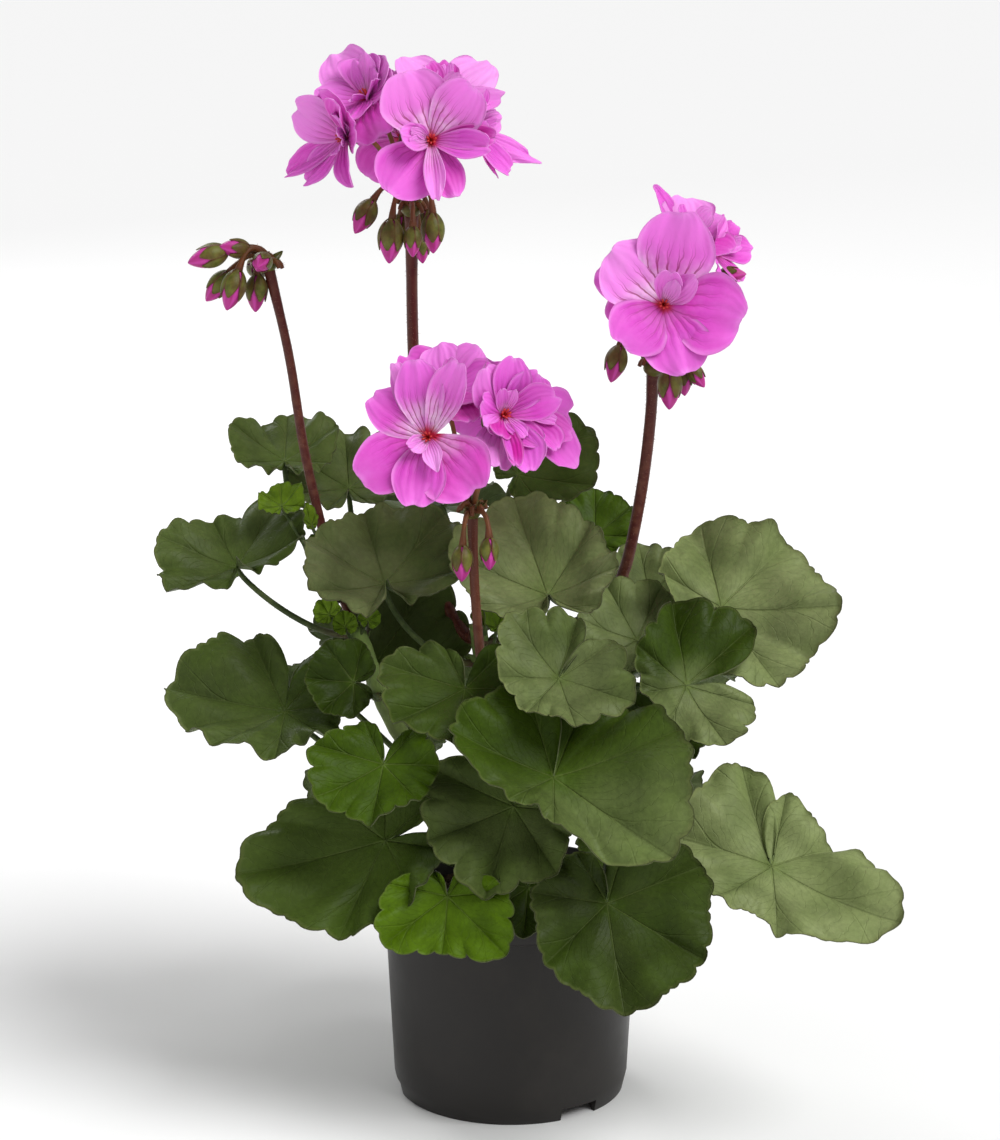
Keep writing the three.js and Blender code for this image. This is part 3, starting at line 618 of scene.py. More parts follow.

# pale is partly the leaves' own color and partly painted light and sheen; dark is the zonal band and also
# painted shade
leafColors = {
    "deep": (0.022, 0.037, 0.0035), "pale": (0.228, 0.268, 0.112), "young": (0.2, 0.33, 0.02),
    "fresh": (0.056, 0.112, 0.0012), "dark": (0.012, 0.022, 0.004), "vein": (0.14, 0.18, 0.05),
    "margin": (0.24, 0.27, 0.1), "rim": (0.03, 0.02, 0.02), "under": (0.1, 0.14, 0.05),
    "petiole": (0.04, 0.065, 0.012), "petioleFoot": (0.07, 0.04, 0.018),
}


def leafMaterial(name, under=False):
    look = Look(name, leafColors, 0.5, 0.1, 0.01)
    lobe, radius, rho = look.spots("spot")
    pale, fresh, jitter = look.spots("tint")
    nearest = look.saw(lobe, 10.5)  # 0 on a main vein, 0.5 halfway to the next
    arc = look.times(radius, 0.85)
    fork = look.gap(nearest, look.times(look.ramp(rho, 0.38, 1.1), 0.27))
    chevron = look.minus(look.times(rho, 8.0), look.times(nearest, 6.5))
    lateral = look.saw(look.plus(chevron, look.times(look.grain(120, 2), 1.4)), 10.0)
    mainVein = look.ramp(look.times(nearest, arc), 0.1, 0.6, 1.0, 0.0)
    forkVein = look.ramp(look.times(fork, arc), 0.08, 0.4, 1.0, 0.0)
    sideVein = look.ramp(look.times(lateral, 5.0), 0.04, 0.26, 1.0, 0.0)
    cloud = look.ramp(look.grain(38, 3), 0.35, 0.68)
    if under:
        look.paint("under", "pale", look.times(cloud, 0.4))
    else:
        zone = look.times(look.ramp(rho, 0.36, 0.5), look.ramp(rho, 0.6, 0.75, 1.0, 0.0))
        hub = look.ramp(rho, 0.02, 0.25, 1.0, 0.0)
        # pale mixes in the pale color, partly painted light and sheen; a paleness below 0 mixes in the dark
        # color as painted shade
        look.paint("deep", "pale", pale, "dark", look.times(pale, -1.5),  # a paleness below 0 darkens
                   "fresh", fresh, "young", look.minus(fresh, 1.0), "fresh", look.times(cloud, 0.22),
                   "dark", look.times(zone, 0.16), "fresh", look.times(hub, 0.3))
    veins = look.times(look.most(mainVein, look.times(forkVein, 0.6)), look.ramp(rho, 0.1, 0.9, 0.3, 0.1))
    edge = look.times(look.ramp(rho, 0.955, 0.985), look.plus(0.15, look.times(pale, 0.3)))
    look.cover("vein", veins, "vein", look.times(sideVein, 0.05), "margin", edge,
               "rim", look.times(look.ramp(rho, 0.99, 1.0), 0.5))
    speckle = look.ramp(look.grain(420, 3), 0.3, 0.75)
    value = look.ramp(look.plus(speckle, jitter), 0.0, 2.0, 0.85, 1.15)
    shade = look.node("ShaderNodeHueSaturation", {"Color": look.color, "Value": value})
    look.color = shade.outputs["Color"]
    groove = look.plus(mainVein, look.plus(look.times(forkVein, 0.7), look.times(sideVein, 0.5)))
    relief = look.minus(look.times(look.grain(480, 3), 0.9), groove)
    if under:
        relief = look.times(relief, -1.0)
    return look.finish(relief, 0.6, 0.0005, look.ramp(cloud, 0.0, 1.0, 0.42, 0.56))


def petioleMaterial():
    look = Look("leafStalk", leafColors, 0.55, 0.3, 0.04)
    look.paint("petioleFoot", "petiole", look.ramp(look.spots("spot")[0], 0.0, 0.35),
               "vein", look.times(look.ramp(look.grain(300, 3), 0.4, 0.7), 0.4))
    return look.finish(look.grain(900), 0.3, 0.0003)


def readLeaf(row):  # a row of the tables, with the usual values for what it leaves out
    leaf = {"rise": (0,) * 7, "shades": (0,) * 7, "folds": (), "sinus": leafBuild["sinus"],
            "arrive": (0.8, 0.6), "slot": "leaf"}
    leaf.update(zip(("hub", "face", "spin", "source", "veins", "tone"), row))
    leaf.update(*row[6:])
    if np.ndim(leaf["veins"]) == 0:
        leaf["veins"] = [share * leaf["veins"] for share in leafBuild["veinShares"]]
    leaf["hub"] = np.array(leaf["hub"], float)
    leaf["axes"] = axesFor(leaf["face"], leaf["spin"])
    leaf["young"] = len(leaf["source"]) == 3
    return leaf


def alongVeins(values, s):  # smooth line through the seven vein values
    place = np.clip(s + 3, 0, 6)
    i = np.minimum(place.astype(int), 5)
    values = np.asarray(values, float)
    before, start, end, after = [values[np.clip(i + k, 0, 6)] for k in (-1, 0, 1, 2)]
    return hermite(place - i, start, (end - before) / 2, end, (after - start) / 2)


def leafGrid(leaf):  # points of the blade in its own axes, hub at 0, and what the veins are drawn from
    rings, steps = ("youngRings", "youngSteps") if leaf["young"] else ("rings", "steps")
    s = np.linspace(-3.5, 3.5, leafBuild[steps] + 1)[None, :]  # lobe position, whole numbers on the veins
    rho = (np.linspace(0, 1, leafBuild[rings]) ** 0.85)[:, None]  # share of the way out to the margin
    rho[0] = 0.004
    size = sum(leaf["veins"]) / 7
    teeth = max(2, round(size * 0.85 / leafBuild["toothSpacing"]))
    tooth = np.clip((s + 3.5) * teeth + 0.5, 0, 63).astype(int)
    depth = leafBuild["toothDepth"] * rng.uniform(0.5, 1.4, 64)[tooth]
    scallop = 1 - leafBuild["lobeDepth"] * (1 - np.abs(np.cos(math.pi * s)) ** 0.6)
    scallop *= 1 - depth * (1 - np.abs(np.cos(math.pi * s * teeth)) ** 0.5)
    near = np.maximum(0, (np.abs(s) / 3.5 - leafBuild["notchStart"]) / (1 - leafBuild["notchStart"]))
    notch = 0.16 + 0.84 * np.sqrt(1 - near ** 3.2)
    outer = smoothStep(rho, 0.3, 1)
    radius = rho * alongVeins(leaf["veins"], s) * (scallop * outer + 1 - outer) * notch
    angle = s / 3.5 * (math.pi - leaf["sinus"] * degree)
    height = leafBuild["cup"] * radius ** 2 / size
    deep = alongVeins(rng.uniform(0.65, 1.35, 7), s)  # some veins lie deeper than others
    pleat = leafBuild["pleat"] * deep * (1 - 0.4 * smoothStep(rho, 0.7, 1))
    height += pleat * radius * np.abs(np.sin(math.pi * s)) ** 0.85 * np.minimum(1, 1.6 * rho)
    height += leafBuild["forkPleat"] * radius * np.abs(np.sin(2 * math.pi * s)) * smoothStep(rho, 0.35, 0.8)
    height += leafBuild["wave"] * size * rho ** 3 * np.sin(math.pi * s)
    phases = rng.uniform(0, fullTurn, 3)
    for phase, power, waves, share in zip(phases, (3, 4, 6), (1, 3, 5.2), (1, 0.8, 0.5)):
        height += leafBuild["ruffle"] * size * rho ** power * np.sin(waves * math.pi * s + phase) * share
    height += alongVeins(leaf["rise"], s) * rho ** 1.3
    for lobe, spread, share in leaf["folds"]:
        crease = np.maximum(0, 1 - np.abs(s - lobe) / spread) ** 1.2 * np.minimum(1, 1.5 * rho)
        height += leafBuild["foldGain"] * share * radius * crease
    return layers(radius * np.cos(angle), radius * np.sin(angle), height), layers(s, radius, rho)


def petioleLine(leaf):  # middle line and radii of the petiole
    axes = leaf["axes"]
    end = leaf["hub"] - axes[:, 2] * 0.25
    if leaf["young"]:
        foot = np.array(leaf["source"], float)
        path = bezier([foot, foot * 0.5 + end * 0.5 - axes[:, 0] * 2, end], 14)
        return path, np.full(14, leafBuild["youngRadius"])
    start, outward, _ = footOn(leaf["source"], leaf["hub"])
    reach = np.linalg.norm(end - start)
    arrival = axes[:, 2] * leaf["arrive"][0] + axes[:, 0] * leaf["arrive"][1]
    before = end - arrival * reach * leafBuild["petioleArrival"]
    path = bezier([start - outward * 0.8, start + outward * reach * 0.3, before, end], 24)
    swell = np.interp(np.linspace(0, 1, 24), [0, 0.06, 0.2, 1], [1.5, 1.2, 1, 0.85])
    return path, leafBuild["petioleRadius"] * swell


def addBlade(piece, leaf, slots):  # one blade with its petiole; slots are upper face, underside and petiole
    grid, spot = leafGrid(leaf)
    pale, fresh = leaf["tone"]
    # painted light and shade for each lobe, added to the leaf's paleness
    pale = pale + alongVeins(leaf["shades"], spot[..., 0]) * smoothStep(spot[..., 2], 0, 0.5)
    tint = layers(pale, fresh, rng.random())
    piece.addSheet(grid, leafBuild["thickness"], slots[:2], spot, tint, leaf["axes"], leaf["hub"])
    path, radii = petioleLine(leaf)
    piece.addTube(path, radii, leafBuild["petioleSides"], slots[2], (*leaf["tone"], 0.5))
    return path, radii


def makeLeaf(name, row, materials):
    piece = Piece(f"{name}_blade", materials)
    leaf = readLeaf(row)
    path, radii = addBlade(piece, leaf, (0, 1, 2))
    piece.addHairs(path, radii, "petiole", 2, (1, 0, 0))
    piece.build(leaf["slot"], name)
    return footOn(leaf["source"], leaf["hub"])


youngLeaves = {  # in place of shoot and place comes the point where the petiole starts
    "left_buds": [
        ((-97, 20, 252), (0, 58), 185, (-72, 4, 214), 13, (0.1, 1.5),
            {"folds": [(0.6, 0.6, -0.2), (-1.2, 0.6, 0.2)]}),
        ((-84, 14, 245), (50, 25), 190, (-73, 6, 224), (2, 3, 6, 10, 6, 3, 2), (0.1, 1.6)),
        ((-83, 11, 236), (30, 20), 185, (-74, 7, 226), (2, 3, 4, 6, 4, 3, 2), (0.0, 0.9)),
    ],
    "stem": [
        ((-76, -8, 212), (-30, 35), 225, (-67, -6, 203), 8, (0.1, 1.9)),
        ((-69, -13, 208), (0, 20), 190, (-66, -7, 199), 7, (0.1, 1.6)),
        ((-60, -10, 210), (35, 15), 160, (-65, -7, 200), 7, (0.05, 1.4)),
        ((-6, -6, 206), (40, 10), 203, (-9, 4, 190), (2, 3, 7, 17, 7, 3, 2), (0.15, 1.9)),
        ((-12, 2, 208), (-20, 30), 170, (-12, 5, 196), 7, (0.1, 1.6)),
        ((44, 16, 211), (10, 35), 150, (40, 19, 202), 8, (0.15, 1.6)),
        ((34, 14, 208), (-30, 35), 210, (38, 19, 200), 6, (0.1, 1.6)),
        ((-6, 63, 219), (190, 30), 190, (-2, 54, 206), 8, (0.1, 1.5)),
        ((6, 60, 217), (140, 45), 150, (-1, 55, 206), 9, (0.1, 1.3)),
        ((-12, 55, 217), (260, 40), 200, (-3, 54, 206), 7, (0.1, 1.6)),
        ((-2, 48, 218), (0, 35), 180, (-2, 53, 206), 7, (0.05, 1.4)),
    ],
}

# Flower heads. A floret is its place, the way it looks (turn, rise and, where it differs, roll), its petals
# and the small petals crowded in its middle (angle, length). A petal is angle, length, width share and what
# differs from the usual petal: the angle goes counter-clockwise from the top, seen from the front; tone
# darkens and pale lightens a petal, partly as its own color and partly as painted shade and light. A bud is
# its place, the way it points and its size.

headBuild = {
    "throat": 4.5, "throatFoot": 1.2, "petalThickness": 0.35, "petalRows": 18, "petalColumns": 16,
    "petalWidth": 0.5, "sepalThickness": 0.35, "sepals": 5, "filaments": 7, "pedicelRadius": 1.0,
    "stalkRadius": 2.6, "slimRadius": 2.1, "budLength": 16, "budRadius": 4.5, "budRows": 18, "budSides": 24,
    "calyxLength": 13, "calyxRadius": 2.9, "calyxDrop": 3.5, "calyxGap": 0.35, "bracts": 14, "bractStep": 25.7,
    "stubs": 7, "ringStep": 51,
}

heads = {
    "top": {
        "umbel": (-41, 5, 381), "from": ("centre", 0.95),
        "stalk": [(-30, 30, 212), (-38, 34, 250), (-41, 22, 320)],
        "nodes": ["florets_top_1", "florets_top_2", "florets_top_3"],
        "buds": [((-60, -2, 379), (-55, -55), 1.0), ((-49, -14, 371), (-25, -80), 1.15),
            ((-40, -16, 371), (0, -78), 0.8), ((-32, -6, 373), (10, -85), 1.05),
            ((-37, 8, 364), (30, -80), 0.75), ((-46, 14, 371), (-150, -78), 0.9),
            ((-34, 18, 373), (150, -75), 0.9)],
    },
    "middle": {
        "umbel": (-16, -26, 260), "lighter": 0.8, "slim": True, "from": ("centre", 0.84),
        "stalk": [(-13, -19, 200), (-15, -26, 228)],
        "nodes": ["florets_middle_1", "florets_middle_2", "florets_middle_3"],
        "buds": [((-20, -38, 242), (-10, -80), 0.95), ((-9, -38, 246), (5, -80), 0.85)],
    },
    "right": {
        "umbel": (59, 2, 315), "from": ("right", 0.95),
        "stalk": [(46, 23, 214), (50, 19, 231), (55, 13, 261), (58, 7, 291)],
        "nodes": ["florets_right_1", "florets_right_2"],
        "buds": [((43, -8, 319), (-35, -65), 1.0), ((65, -14, 310), (-5, -80), 1.1),
            ((71, -4, 312), (20, -75), 0.9), ((76, -8, 314), (60, -50), 0.75),
            ((68, 16, 306), (-150, -70), 0.9), ((91, 8, 353), (75, 5), 0.75)],
    },
    "left_buds": {
        "umbel": (-101, 19, 355), "from": ("left", 0.97), "slim": True,
        "stalk": [(-75, 10, 226), (-80, 21, 242), (-87, 20, 276), (-93, 18, 318)],
        "nodes": [],
        "buds": [((-125, 12, 360), (-75, -15), 1.1), ((-115, 8, 347), (-50, -68), 1.1),
            ((-122, 22, 346), (-80, -50), 1.0), ((-103, 8, 358), (-10, -5), 0.9),
            ((-106, 18, 344), (-20, -80), 1.0), ((-106, 32, 352), (170, -20), 1.0),
            ((-114, 14, 363), (-60, 10), 0.9)],
    },
}

florets = {
    "top": [
        ((-32, -28, 414), (5, 20), [
            (25, 29, 1.03, {"upper": 1, "open": 0.16, "pale": 0.35}),
            (316, 27, 0.88, {"upper": 1, "open": 0.2, "lift": 2, "pale": 0.3}),
            (288, 23, 0.66, {"open": 0.12, "tone": 0.15, "upper": 0.5}),
            (270, 26, 0.44, {"tone": 0.85, "open": 0.2, "fold": 0.6, "lift": -1}),
            (255, 24, 0.55, {"tone": 0.05, "open": 0.25, "lift": 1.5, "fold": 0.5, "ruffle": 0.07}),
            (197, 26, 0.64, {"tone": 0.4, "lift": -1}),
            (181, 27, 0.33, {"fold": 1.2, "pale": 0.6, "open": 0.2, "lift": 2, "upper": 0.6}),
            (144, 29, 0.98, {"tone": 0.25, "upper": 0.1})], [(95, 13), (112, 10), (80, 9), (60, 8)]),
        ((-70, -8, 412), (-48, 2), [
            (14, 20, 0.89, {"upper": 0.6, "open": 0.25, "tone": 0.3}),
            (64, 23, 0.92, {"open": 0.35, "pale": 0.5}),
            (120, 34, 0.35, {"tone": 0.35, "fold": 0.3, "point": 0.6, "open": 0.1}),
            (136, 28, 0.48, {"tone": 0.35, "point": 0.3, "open": 0.05}),
            (215, 21, 0.61, {"tone": 0.3, "fold": 0.4, "open": 0.2, "point": 0.8}),
            (285, 20, 0.9, {"open": 0.4, "tone": 0.55}),
            (330, 18, 0.8, {"open": 0.5, "tone": 0.5, "fold": 0.5})], [(280, 10), (330, 12), (240, 9)]),
        ((-61, 10, 428), (-40, 40), [
            (11, 15, 1.5, {"tone": 0.05, "open": 0.35, "cup": 0.8, "pale": 0.3}),
            (56, 26, 0.9, {"open": 0.2, "pale": 0.6}),
            (113, 20, 0.94, {"open": 0.3, "tone": 0.1, "pale": 0.3}),
            (231, 33, 0.8, {"tone": 0.35, "open": 0.1}), (204, 18, 0.8, {"tone": 0.3, "open": 0.3}),
            (320, 17, 1, {"open": 0.4, "pale": 0.4}), (285, 18, 1, {"open": 0.3, "pale": 0.3})],
            [(350, 13), (20, 12), (320, 11), (280, 12), (200, 9)]),
        ((-46, 30, 423), (-170, 55, 20), [
            (0, 20, 1.1, {"pale": 0.6}), (72, 20, 1, {"open": 0.3, "pale": 0.3}),
            (144, 20, 1.1, {"pale": 0.6}), (216, 20, 1.1, {"open": 0.2}), (288, 21, 1, {"open": 0.3})],
            [(150, 12), (190, 11), (20, 10)]),
        ((-29, 6, 427), (20, 50), [
            (14, 13, 0.85, {"tone": 0.6, "open": 0.5, "fold": 0.5}),
            (333, 14, 0.8, {"tone": 0.55, "open": 0.5, "fold": 0.4}),
            (25, 24, 0.83, {"pale": 0.8, "open": 0.1}),
            (296, 28, 0.84, {"pale": 0.9, "open": 0.15, "ruffle": 0.05}),
            (250, 25, 0.66, {"pale": 0.5, "open": 0.3}), (200, 18, 0.9, {"open": 0.3}),
            (160, 17, 0.9, {"open": 0.3, "tone": 0.5})], [(80, 11), (30, 12), (340, 12), (300, 10)]),
        ((-13, 0, 413), (60, 5), [
            (241, 30, 0.39, {"open": 0.35, "tone": 0.1, "pale": 0.3, "point": 0.8, "ruffle": 0.06}),
            (219, 23, 0.51, {"open": 0.3, "tone": 0.2}),
            (200, 18, 0.35, {"open": 0.1, "tone": 0.9, "point": 1}),
            (295, 12, 0.96, {"pale": 0.5, "open": 0.4}), (323, 12, 1.11, {"pale": 0.6, "open": 0.3}),
            (100, 17, 0.9, {"open": 0.6, "tone": 0.4}), (20, 18, 1, {"open": 0.4}),
            (60, 18, 0.9, {"open": 0.5})], [(300, 8)]),
        ((-44, 34, 407), (180, 15), [
            (0, 24, 1, {"upper": 1}), (72, 26, 1, {}), (144, 27, 0.95, {"tone": 0.4}),
            (216, 26, 1, {"tone": 0.5}), (288, 25, 1, {"upper": 1})], [(40, 10), (60, 8), (350, 9)]),
    ],
    "middle": [
        ((-34, -50, 297), (-8, 15), [
            (9, 31, 0.68, {"upper": 1, "open": 0.22, "lift": 2, "fold": 0.15, "tone": 0.15}),
            (27, 32, 0.37, {"upper": 1, "open": 0.16, "pale": 0.5}),
            (53, 28, 0.75, {"upper": 1, "open": 0.1, "tone": 0.3}),
            (123, 33, 0.78, {"open": 0.08, "tone": 0.35}),
            (171, 29, 0.81, {"lift": 1.5, "open": 0.12, "tone": 0.3}),
            (223, 31, 1.06, {"open": 0.1, "tone": 0.55, "upper": 0.5}),
            (333, 33, 0.49, {"upper": 1, "open": 0.35, "fold": 0.5, "pale": 0.2}),
            (202, 14, 0.66, {"open": 0.6, "pale": 0.9, "fold": 0.3, "point": 0.8, "upper": 0.1})],
            [(140, 8), (120, 8)]),
        ((-27, -18, 312), (-10, 55), [
            (52, 24, 0.85, {"tone": 0.4, "open": 0.2}),
            (17, 19, 1.04, {"tone": 0.1, "pale": 0.3, "open": 0.3}),
            (325, 21, 0.97, {"pale": 0.3, "open": 0.3}), (210, 30, 0.51, {"tone": 1, "open": 0.2}),
            (90, 20, 1, {}), (280, 20, 1, {"open": 0.3}), (240, 22, 0.8, {"open": 0.3, "tone": 0.6})],
            [(350, 9)]),
        ((-2, -38, 304), (22, 20), [
            (32, 21, 0.95, {"open": 0.4, "fold": -0.2, "pale": 0.3}),
            (349, 22, 0.8, {"open": 0.35, "fold": 0.4, "tone": 0.15}),
            (318, 20, 0.75, {"open": 0.3, "tone": 0.1, "fold": 0.4}),
            (69, 14, 0.96, {"open": 0.6, "tone": 0.15, "fold": -0.5}),
            (121, 13, 0.93, {"open": 0.4, "tone": 0.1, "pale": 0.3}),
            (154, 26, 0.7, {"open": 0.45, "pale": 0.6, "fold": -0.6}),
            (187, 26, 0.7, {"open": 0.45, "tone": 0, "fold": 0.8}),
            (169, 24, 0.38, {"open": 0.6, "tone": 1, "fold": 1.2}),
            (146, 13, 0.89, {"open": 0.8, "tone": 0.8, "fold": -0.5}),
            (285, 20, 0.8, {"open": 0.45, "tone": 0.2, "fold": 0.5}),
            (210, 18, 0.7, {"open": 0.6, "tone": 0.5})], [(20, 10), (345, 9), (200, 12)]),
        ((8, -18, 300), (45, 15), [
            (208, 27, 0.85, {"open": 0.2, "point": 0.6, "tone": 0.2, "fold": 0.3}),
            (260, 22, 1.05, {"open": 0.15, "tone": 0.2}), (305, 14, 1.1, {"open": 0.2, "tone": 0.2}),
            (192, 17, 0.82, {"open": 0.5, "tone": 0.4, "fold": 0.6}), (340, 16, 1, {"open": 0.3}),
            (230, 18, 0.8, {"open": 0.5, "tone": 0.5})], [(240, 10)]),
        ((-8, 6, 298), (170, 30), [
            (0, 25, 1.05, {"upper": 1}), (72, 25, 0.95, {}), (144, 26, 1.05, {"tone": 0.4}),
            (216, 26, 1, {"tone": 0.3}), (288, 25, 1, {"upper": 1})], [(30, 10), (70, 9)]),
    ],
    "right": [
        ((62, -22, 346), (0, 15), [
            (347, 38, 0.89, {"upper": 1, "open": 0.16, "lift": 1, "tone": 0.15, "pale": 0.2}),
            (46, 31, 1.03, {"upper": 1, "open": 0.1, "pale": 0.5, "lift": -1}),
            (134, 25, 1.12, {"lift": 1, "tone": 0.3, "upper": 0.1}),
            (196, 30, 0.99, {"open": 0.1, "tone": 0.3, "upper": 0.1}),
            (256, 33, 1.1, {"lift": -1, "tone": 0.35, "upper": 0.1}),
            (351, 13, 0.92, {"open": 0.75, "fold": 0.5, "pale": 0.3, "upper": 0.3}),
            (308, 16, 0.72, {"open": 0.7, "fold": -0.6, "pale": 0.4, "upper": 0.3})], [(330, 10)]),
        ((74, 8, 370), (20, 55), [
            (32, 21, 0.53, {"open": 0.45, "point": 1, "tone": 0.2}),
            (354, 17, 1.46, {"pale": 0.7, "open": 0.3}), (286, 16, 1.24, {"pale": 0.5, "open": 0.3}),
            (144, 20, 1.1, {}), (216, 20, 1, {"open": 0.3, "tone": 0.5})], [(20, 10), (300, 10)]),
        ((87, 10, 363), (65, 15), [
            (303, 14, 1.04, {"open": 0.35, "tone": 0.4}),
            (259, 17, 0.76, {"open": 0.3, "tone": 0.3, "fold": 0.4}),
            (106, 20, 0.42, {"open": 0.3, "tone": 0.1}), (20, 15, 0.9, {"open": 0.4}),
            (180, 15, 0.9, {"open": 0.4, "tone": 0.4})], [(280, 8)]),
        ((60, 26, 345), (195, 25), [
            (0, 26, 1.05, {"upper": 1}), (72, 25, 1, {}), (144, 26, 1.05, {"tone": 0.4}),
            (216, 25, 1, {"tone": 0.5}), (288, 26, 1, {"upper": 1})], [(20, 11), (50, 8)]),
    ],
    "left_buds": [],
}

petalColors = {
    "body": (0.65, 0.06, 0.56), "light": (0.86, 0.2, 0.76), "palest": (0.93, 0.4, 0.87),
    "deep": (0.56, 0.012, 0.32), "white": (0.93, 0.68, 0.88), "line": (0.22, 0.0, 0.06),
    "throat": (0.5, 0.008, 0.04), "filament": (0.55, 0.03, 0.03),
}

greenery = {  # dark, red and light
    "sepal": ((0.07, 0.08, 0.008), (0.12, 0.025, 0.015), (0.19, 0.2, 0.03)),
    "stalk": ((0.07, 0.007, 0.004), (0.07, 0.007, 0.004), (0.17, 0.06, 0.03)),
    "pedicel": ((0.24, 0.09, 0.025), (0.07, 0.007, 0.004), (0.11, 0.07, 0.018)),
    "budPetal": ((0.5, 0.02, 0.26), (0.62, 0.06, 0.4), (0.3, 0.01, 0.1)),
    "hair": (0.26, 0.1, 0.06),
}


def petalMaterial():
    look = Look("petalSilk", petalColors, 0.5, 0.2, 0.05)
    along, across, upper = look.spots("spot")
    # tone darkens a petal and pale lightens it, partly its own color and partly painted shade and light
    tone, pale, _ = look.spots("tint")
    reach = look.maths("ABSOLUTE", across)
    # painted shade in the crease of the throat, on the lower petals
    inner = look.times(look.ramp(along, 0.5, 0.1, 0.0, 0.5), look.minus(1.0, upper))
    margin = look.most(look.ramp(reach, 0.8, 1.0, 0.0, 0.4), look.ramp(along, 0.9, 1.0, 0.0, 0.35))
    look.paint("body", "light", look.ramp(along, 0.3, 0.95, 0.0, 0.7),
               "deep", look.times(tone, look.ramp(along, 0.75, 1.0, 1.0, 0.55)),
               "palest", look.times(pale, look.ramp(along, 0.1, 0.7, 0.4, 1.0)),
               "light", look.ramp(look.grain(70, 4), 0.35, 0.7, 0.0, 0.3), "deep", inner, "palest", margin)
    fan = look.plus(look.times(across, 3.5), look.times(look.minus(look.grain(110, 2), 0.5), 0.9))
    patchy = look.times(upper, look.ramp(look.grain(140, 3), 0.3, 0.65, 0.3, 1.0))
    line = look.gap(look.saw(fan, 20.0), look.times(look.ramp(along, 0.25, 0.9), 0.27))
    line = look.maths("DIVIDE", line, look.ramp(along, 0.1, 0.7, 0.12, 0.035))
    strength = look.times(look.ramp(along, 0.8, 0.25), look.ramp(reach, 0.95, 0.7))
    strength = look.times(strength, look.ramp(upper, 0.0, 1.0, 0.4, 0.85))
    look.cover("white", look.times(look.ramp(along, 0.62, 0.15, 0.0, 0.85), patchy),
               "line", look.times(look.ramp(line, 0.5, 1.1, 1.0, 0.0), strength),
               "throat", look.ramp(along, 0.17, 0.06))
    look.set({"Subsurface Weight": 0.2, "Subsurface Radius": (1.0, 0.35, 0.8), "Subsurface Scale": 0.002})
    ribs = look.times(look.maths("COSINE", look.times(fan, fullTurn)), look.ramp(along, 1.0, 0.2, 0.2, 1.0))
    return look.finish(look.plus(ribs, look.times(look.grain(500), 0.5)), 0.45, 0.0004)


def greenMaterial(name, *colors):  # tint x lightens, spot y is the way across a sepal
    look = Look(name, dict(zip(("dark", "red", "light"), colors)), 0.45, 0.3, 0.05)
    along, across, _ = look.spots("spot")
    cloud = look.times(look.ramp(look.grain(260, 4), 0.35, 0.65), 0.6)
    blush = look.times(look.ramp(look.grain(120, 2), 0.4, 0.65), 0.5)
    margin = look.times(look.ramp(look.maths("ABSOLUTE", across), 0.55, 1.0), 0.8)
    tip = look.times(look.ramp(along, 0.5, 0.95), 0.6)
    look.paint("dark", "light", look.most(cloud, look.spots("tint")[0]),
               "red", look.most(blush, look.most(margin, tip)))
    return look.finish(look.grain(1100, 3), 0.4, 0.0003)


def petalOutline(t):  # half width as a share of the length: a narrow claw, a wedge and a blunt end
    wedge = 0.14 + 0.86 * np.sin(math.pi / 2 * np.minimum(1, t / 0.66))
    end = np.clip((t - 0.42) / 0.58, 0, 0.9992)
    return headBuild["petalWidth"] * wedge * (1 - end ** 2.4) ** 0.5


def petalGrid(petal):
    t = (0.02 + 0.98 * np.sin(np.linspace(0, math.pi / 2, headBuild["petalRows"])))[:, None]
    v = np.linspace(-1, 1, headBuild["petalColumns"] + 1)[None, :]
    length, phase, point = petal["length"], rng.uniform(0, fullTurn, 6), petal["point"]
    outline = petalOutline(t) * (1 - 0.25 * point * t ** 2)
    half = outline * petal["width"]
    w = v * outline / headBuild["petalWidth"]  # how far out from the middle line, whatever the row
    nibbled = t ** 4 * (0.022 * np.sin(4 * w + phase[0]) + 0.012 * np.sin(9 * w + phase[1])
                        + 0.004 * np.sin(19 * w + phase[4]))
    x = t * length * (1 + nibbled - 0.04 * np.exp(-(w / 0.16) ** 2) * (1 - point)
                      + 0.16 * point * t ** 4 * np.exp(-(w / 0.3) ** 2))
    y = v * half * length * (1 + 0.035 * t ** 2 * np.sin(7 * t + phase[2] + 2 * np.sign(v)))
    y = y + petal["sway"] * length * t ** 2
    height = petal["open"] * t ** 2 * length - headBuild["throat"] * (1 - t) ** 3 + petal["lift"] * t
    height = height + petal["cup"] * length * (half * v) ** 2 + petal["fold"] * np.abs(v) * half * length
    height += petal["curl"] * length * smoothStep(t, 0.6, 1.1) ** 2
    wave = petal["ruffle"] * length
    height += wave * t ** 2.5 * (np.sin(4.2 * w + phase[0]) + 0.5 * np.sin(8.5 * w + phase[1]))
    height += 0.3 * wave * t ** 2 * np.sin(14 * w + 3 * t + phase[3])
    height += 0.5 * wave * np.abs(w) ** 2 * np.sin(9 * t + phase[5] + 1.5 * np.sign(v)) * t
    return layers(x, y, height), layers(t, v, petal["upper"])


def addPetal(piece, place, axes, angle, changes):
    petal = {"lift": 0.0, "curl": 0.0, "fold": 0.0, "ruffle": 0.04, "upper": 0.12, "tone": 0.25,
             "point": 0.0, "pale": 0.0, "cup": rng.uniform(0.1, 0.5), "twist": 0.0,
             "sway": rng.uniform(-0.05, 0.05), **changes}
    grid, spot = petalGrid(petal)
    twist = petal["twist"] * degree * grid[..., 0] / petal["length"]
    y = grid[..., 1].copy()
    grid[..., 1] = y * np.cos(twist)
    grid[..., 2] += y * np.sin(twist)
    c, s = math.cos(angle * degree), math.sin(angle * degree)
    turned = axes @ np.array([[c, -s, 0], [s, c, 0], [0, 0, 1]])
    # tone and pale carry painted shade and light as well as the petal's own color
    tint = (petal["tone"] + rng.uniform(-0.08, 0.08), petal["pale"], rng.random())
    piece.addSheet(grid, headBuild["petalThickness"], (0,), spot, tint, turned, place)


def floretAxes(look):
    return axesFor(look, 180 + sum(look[2:]))


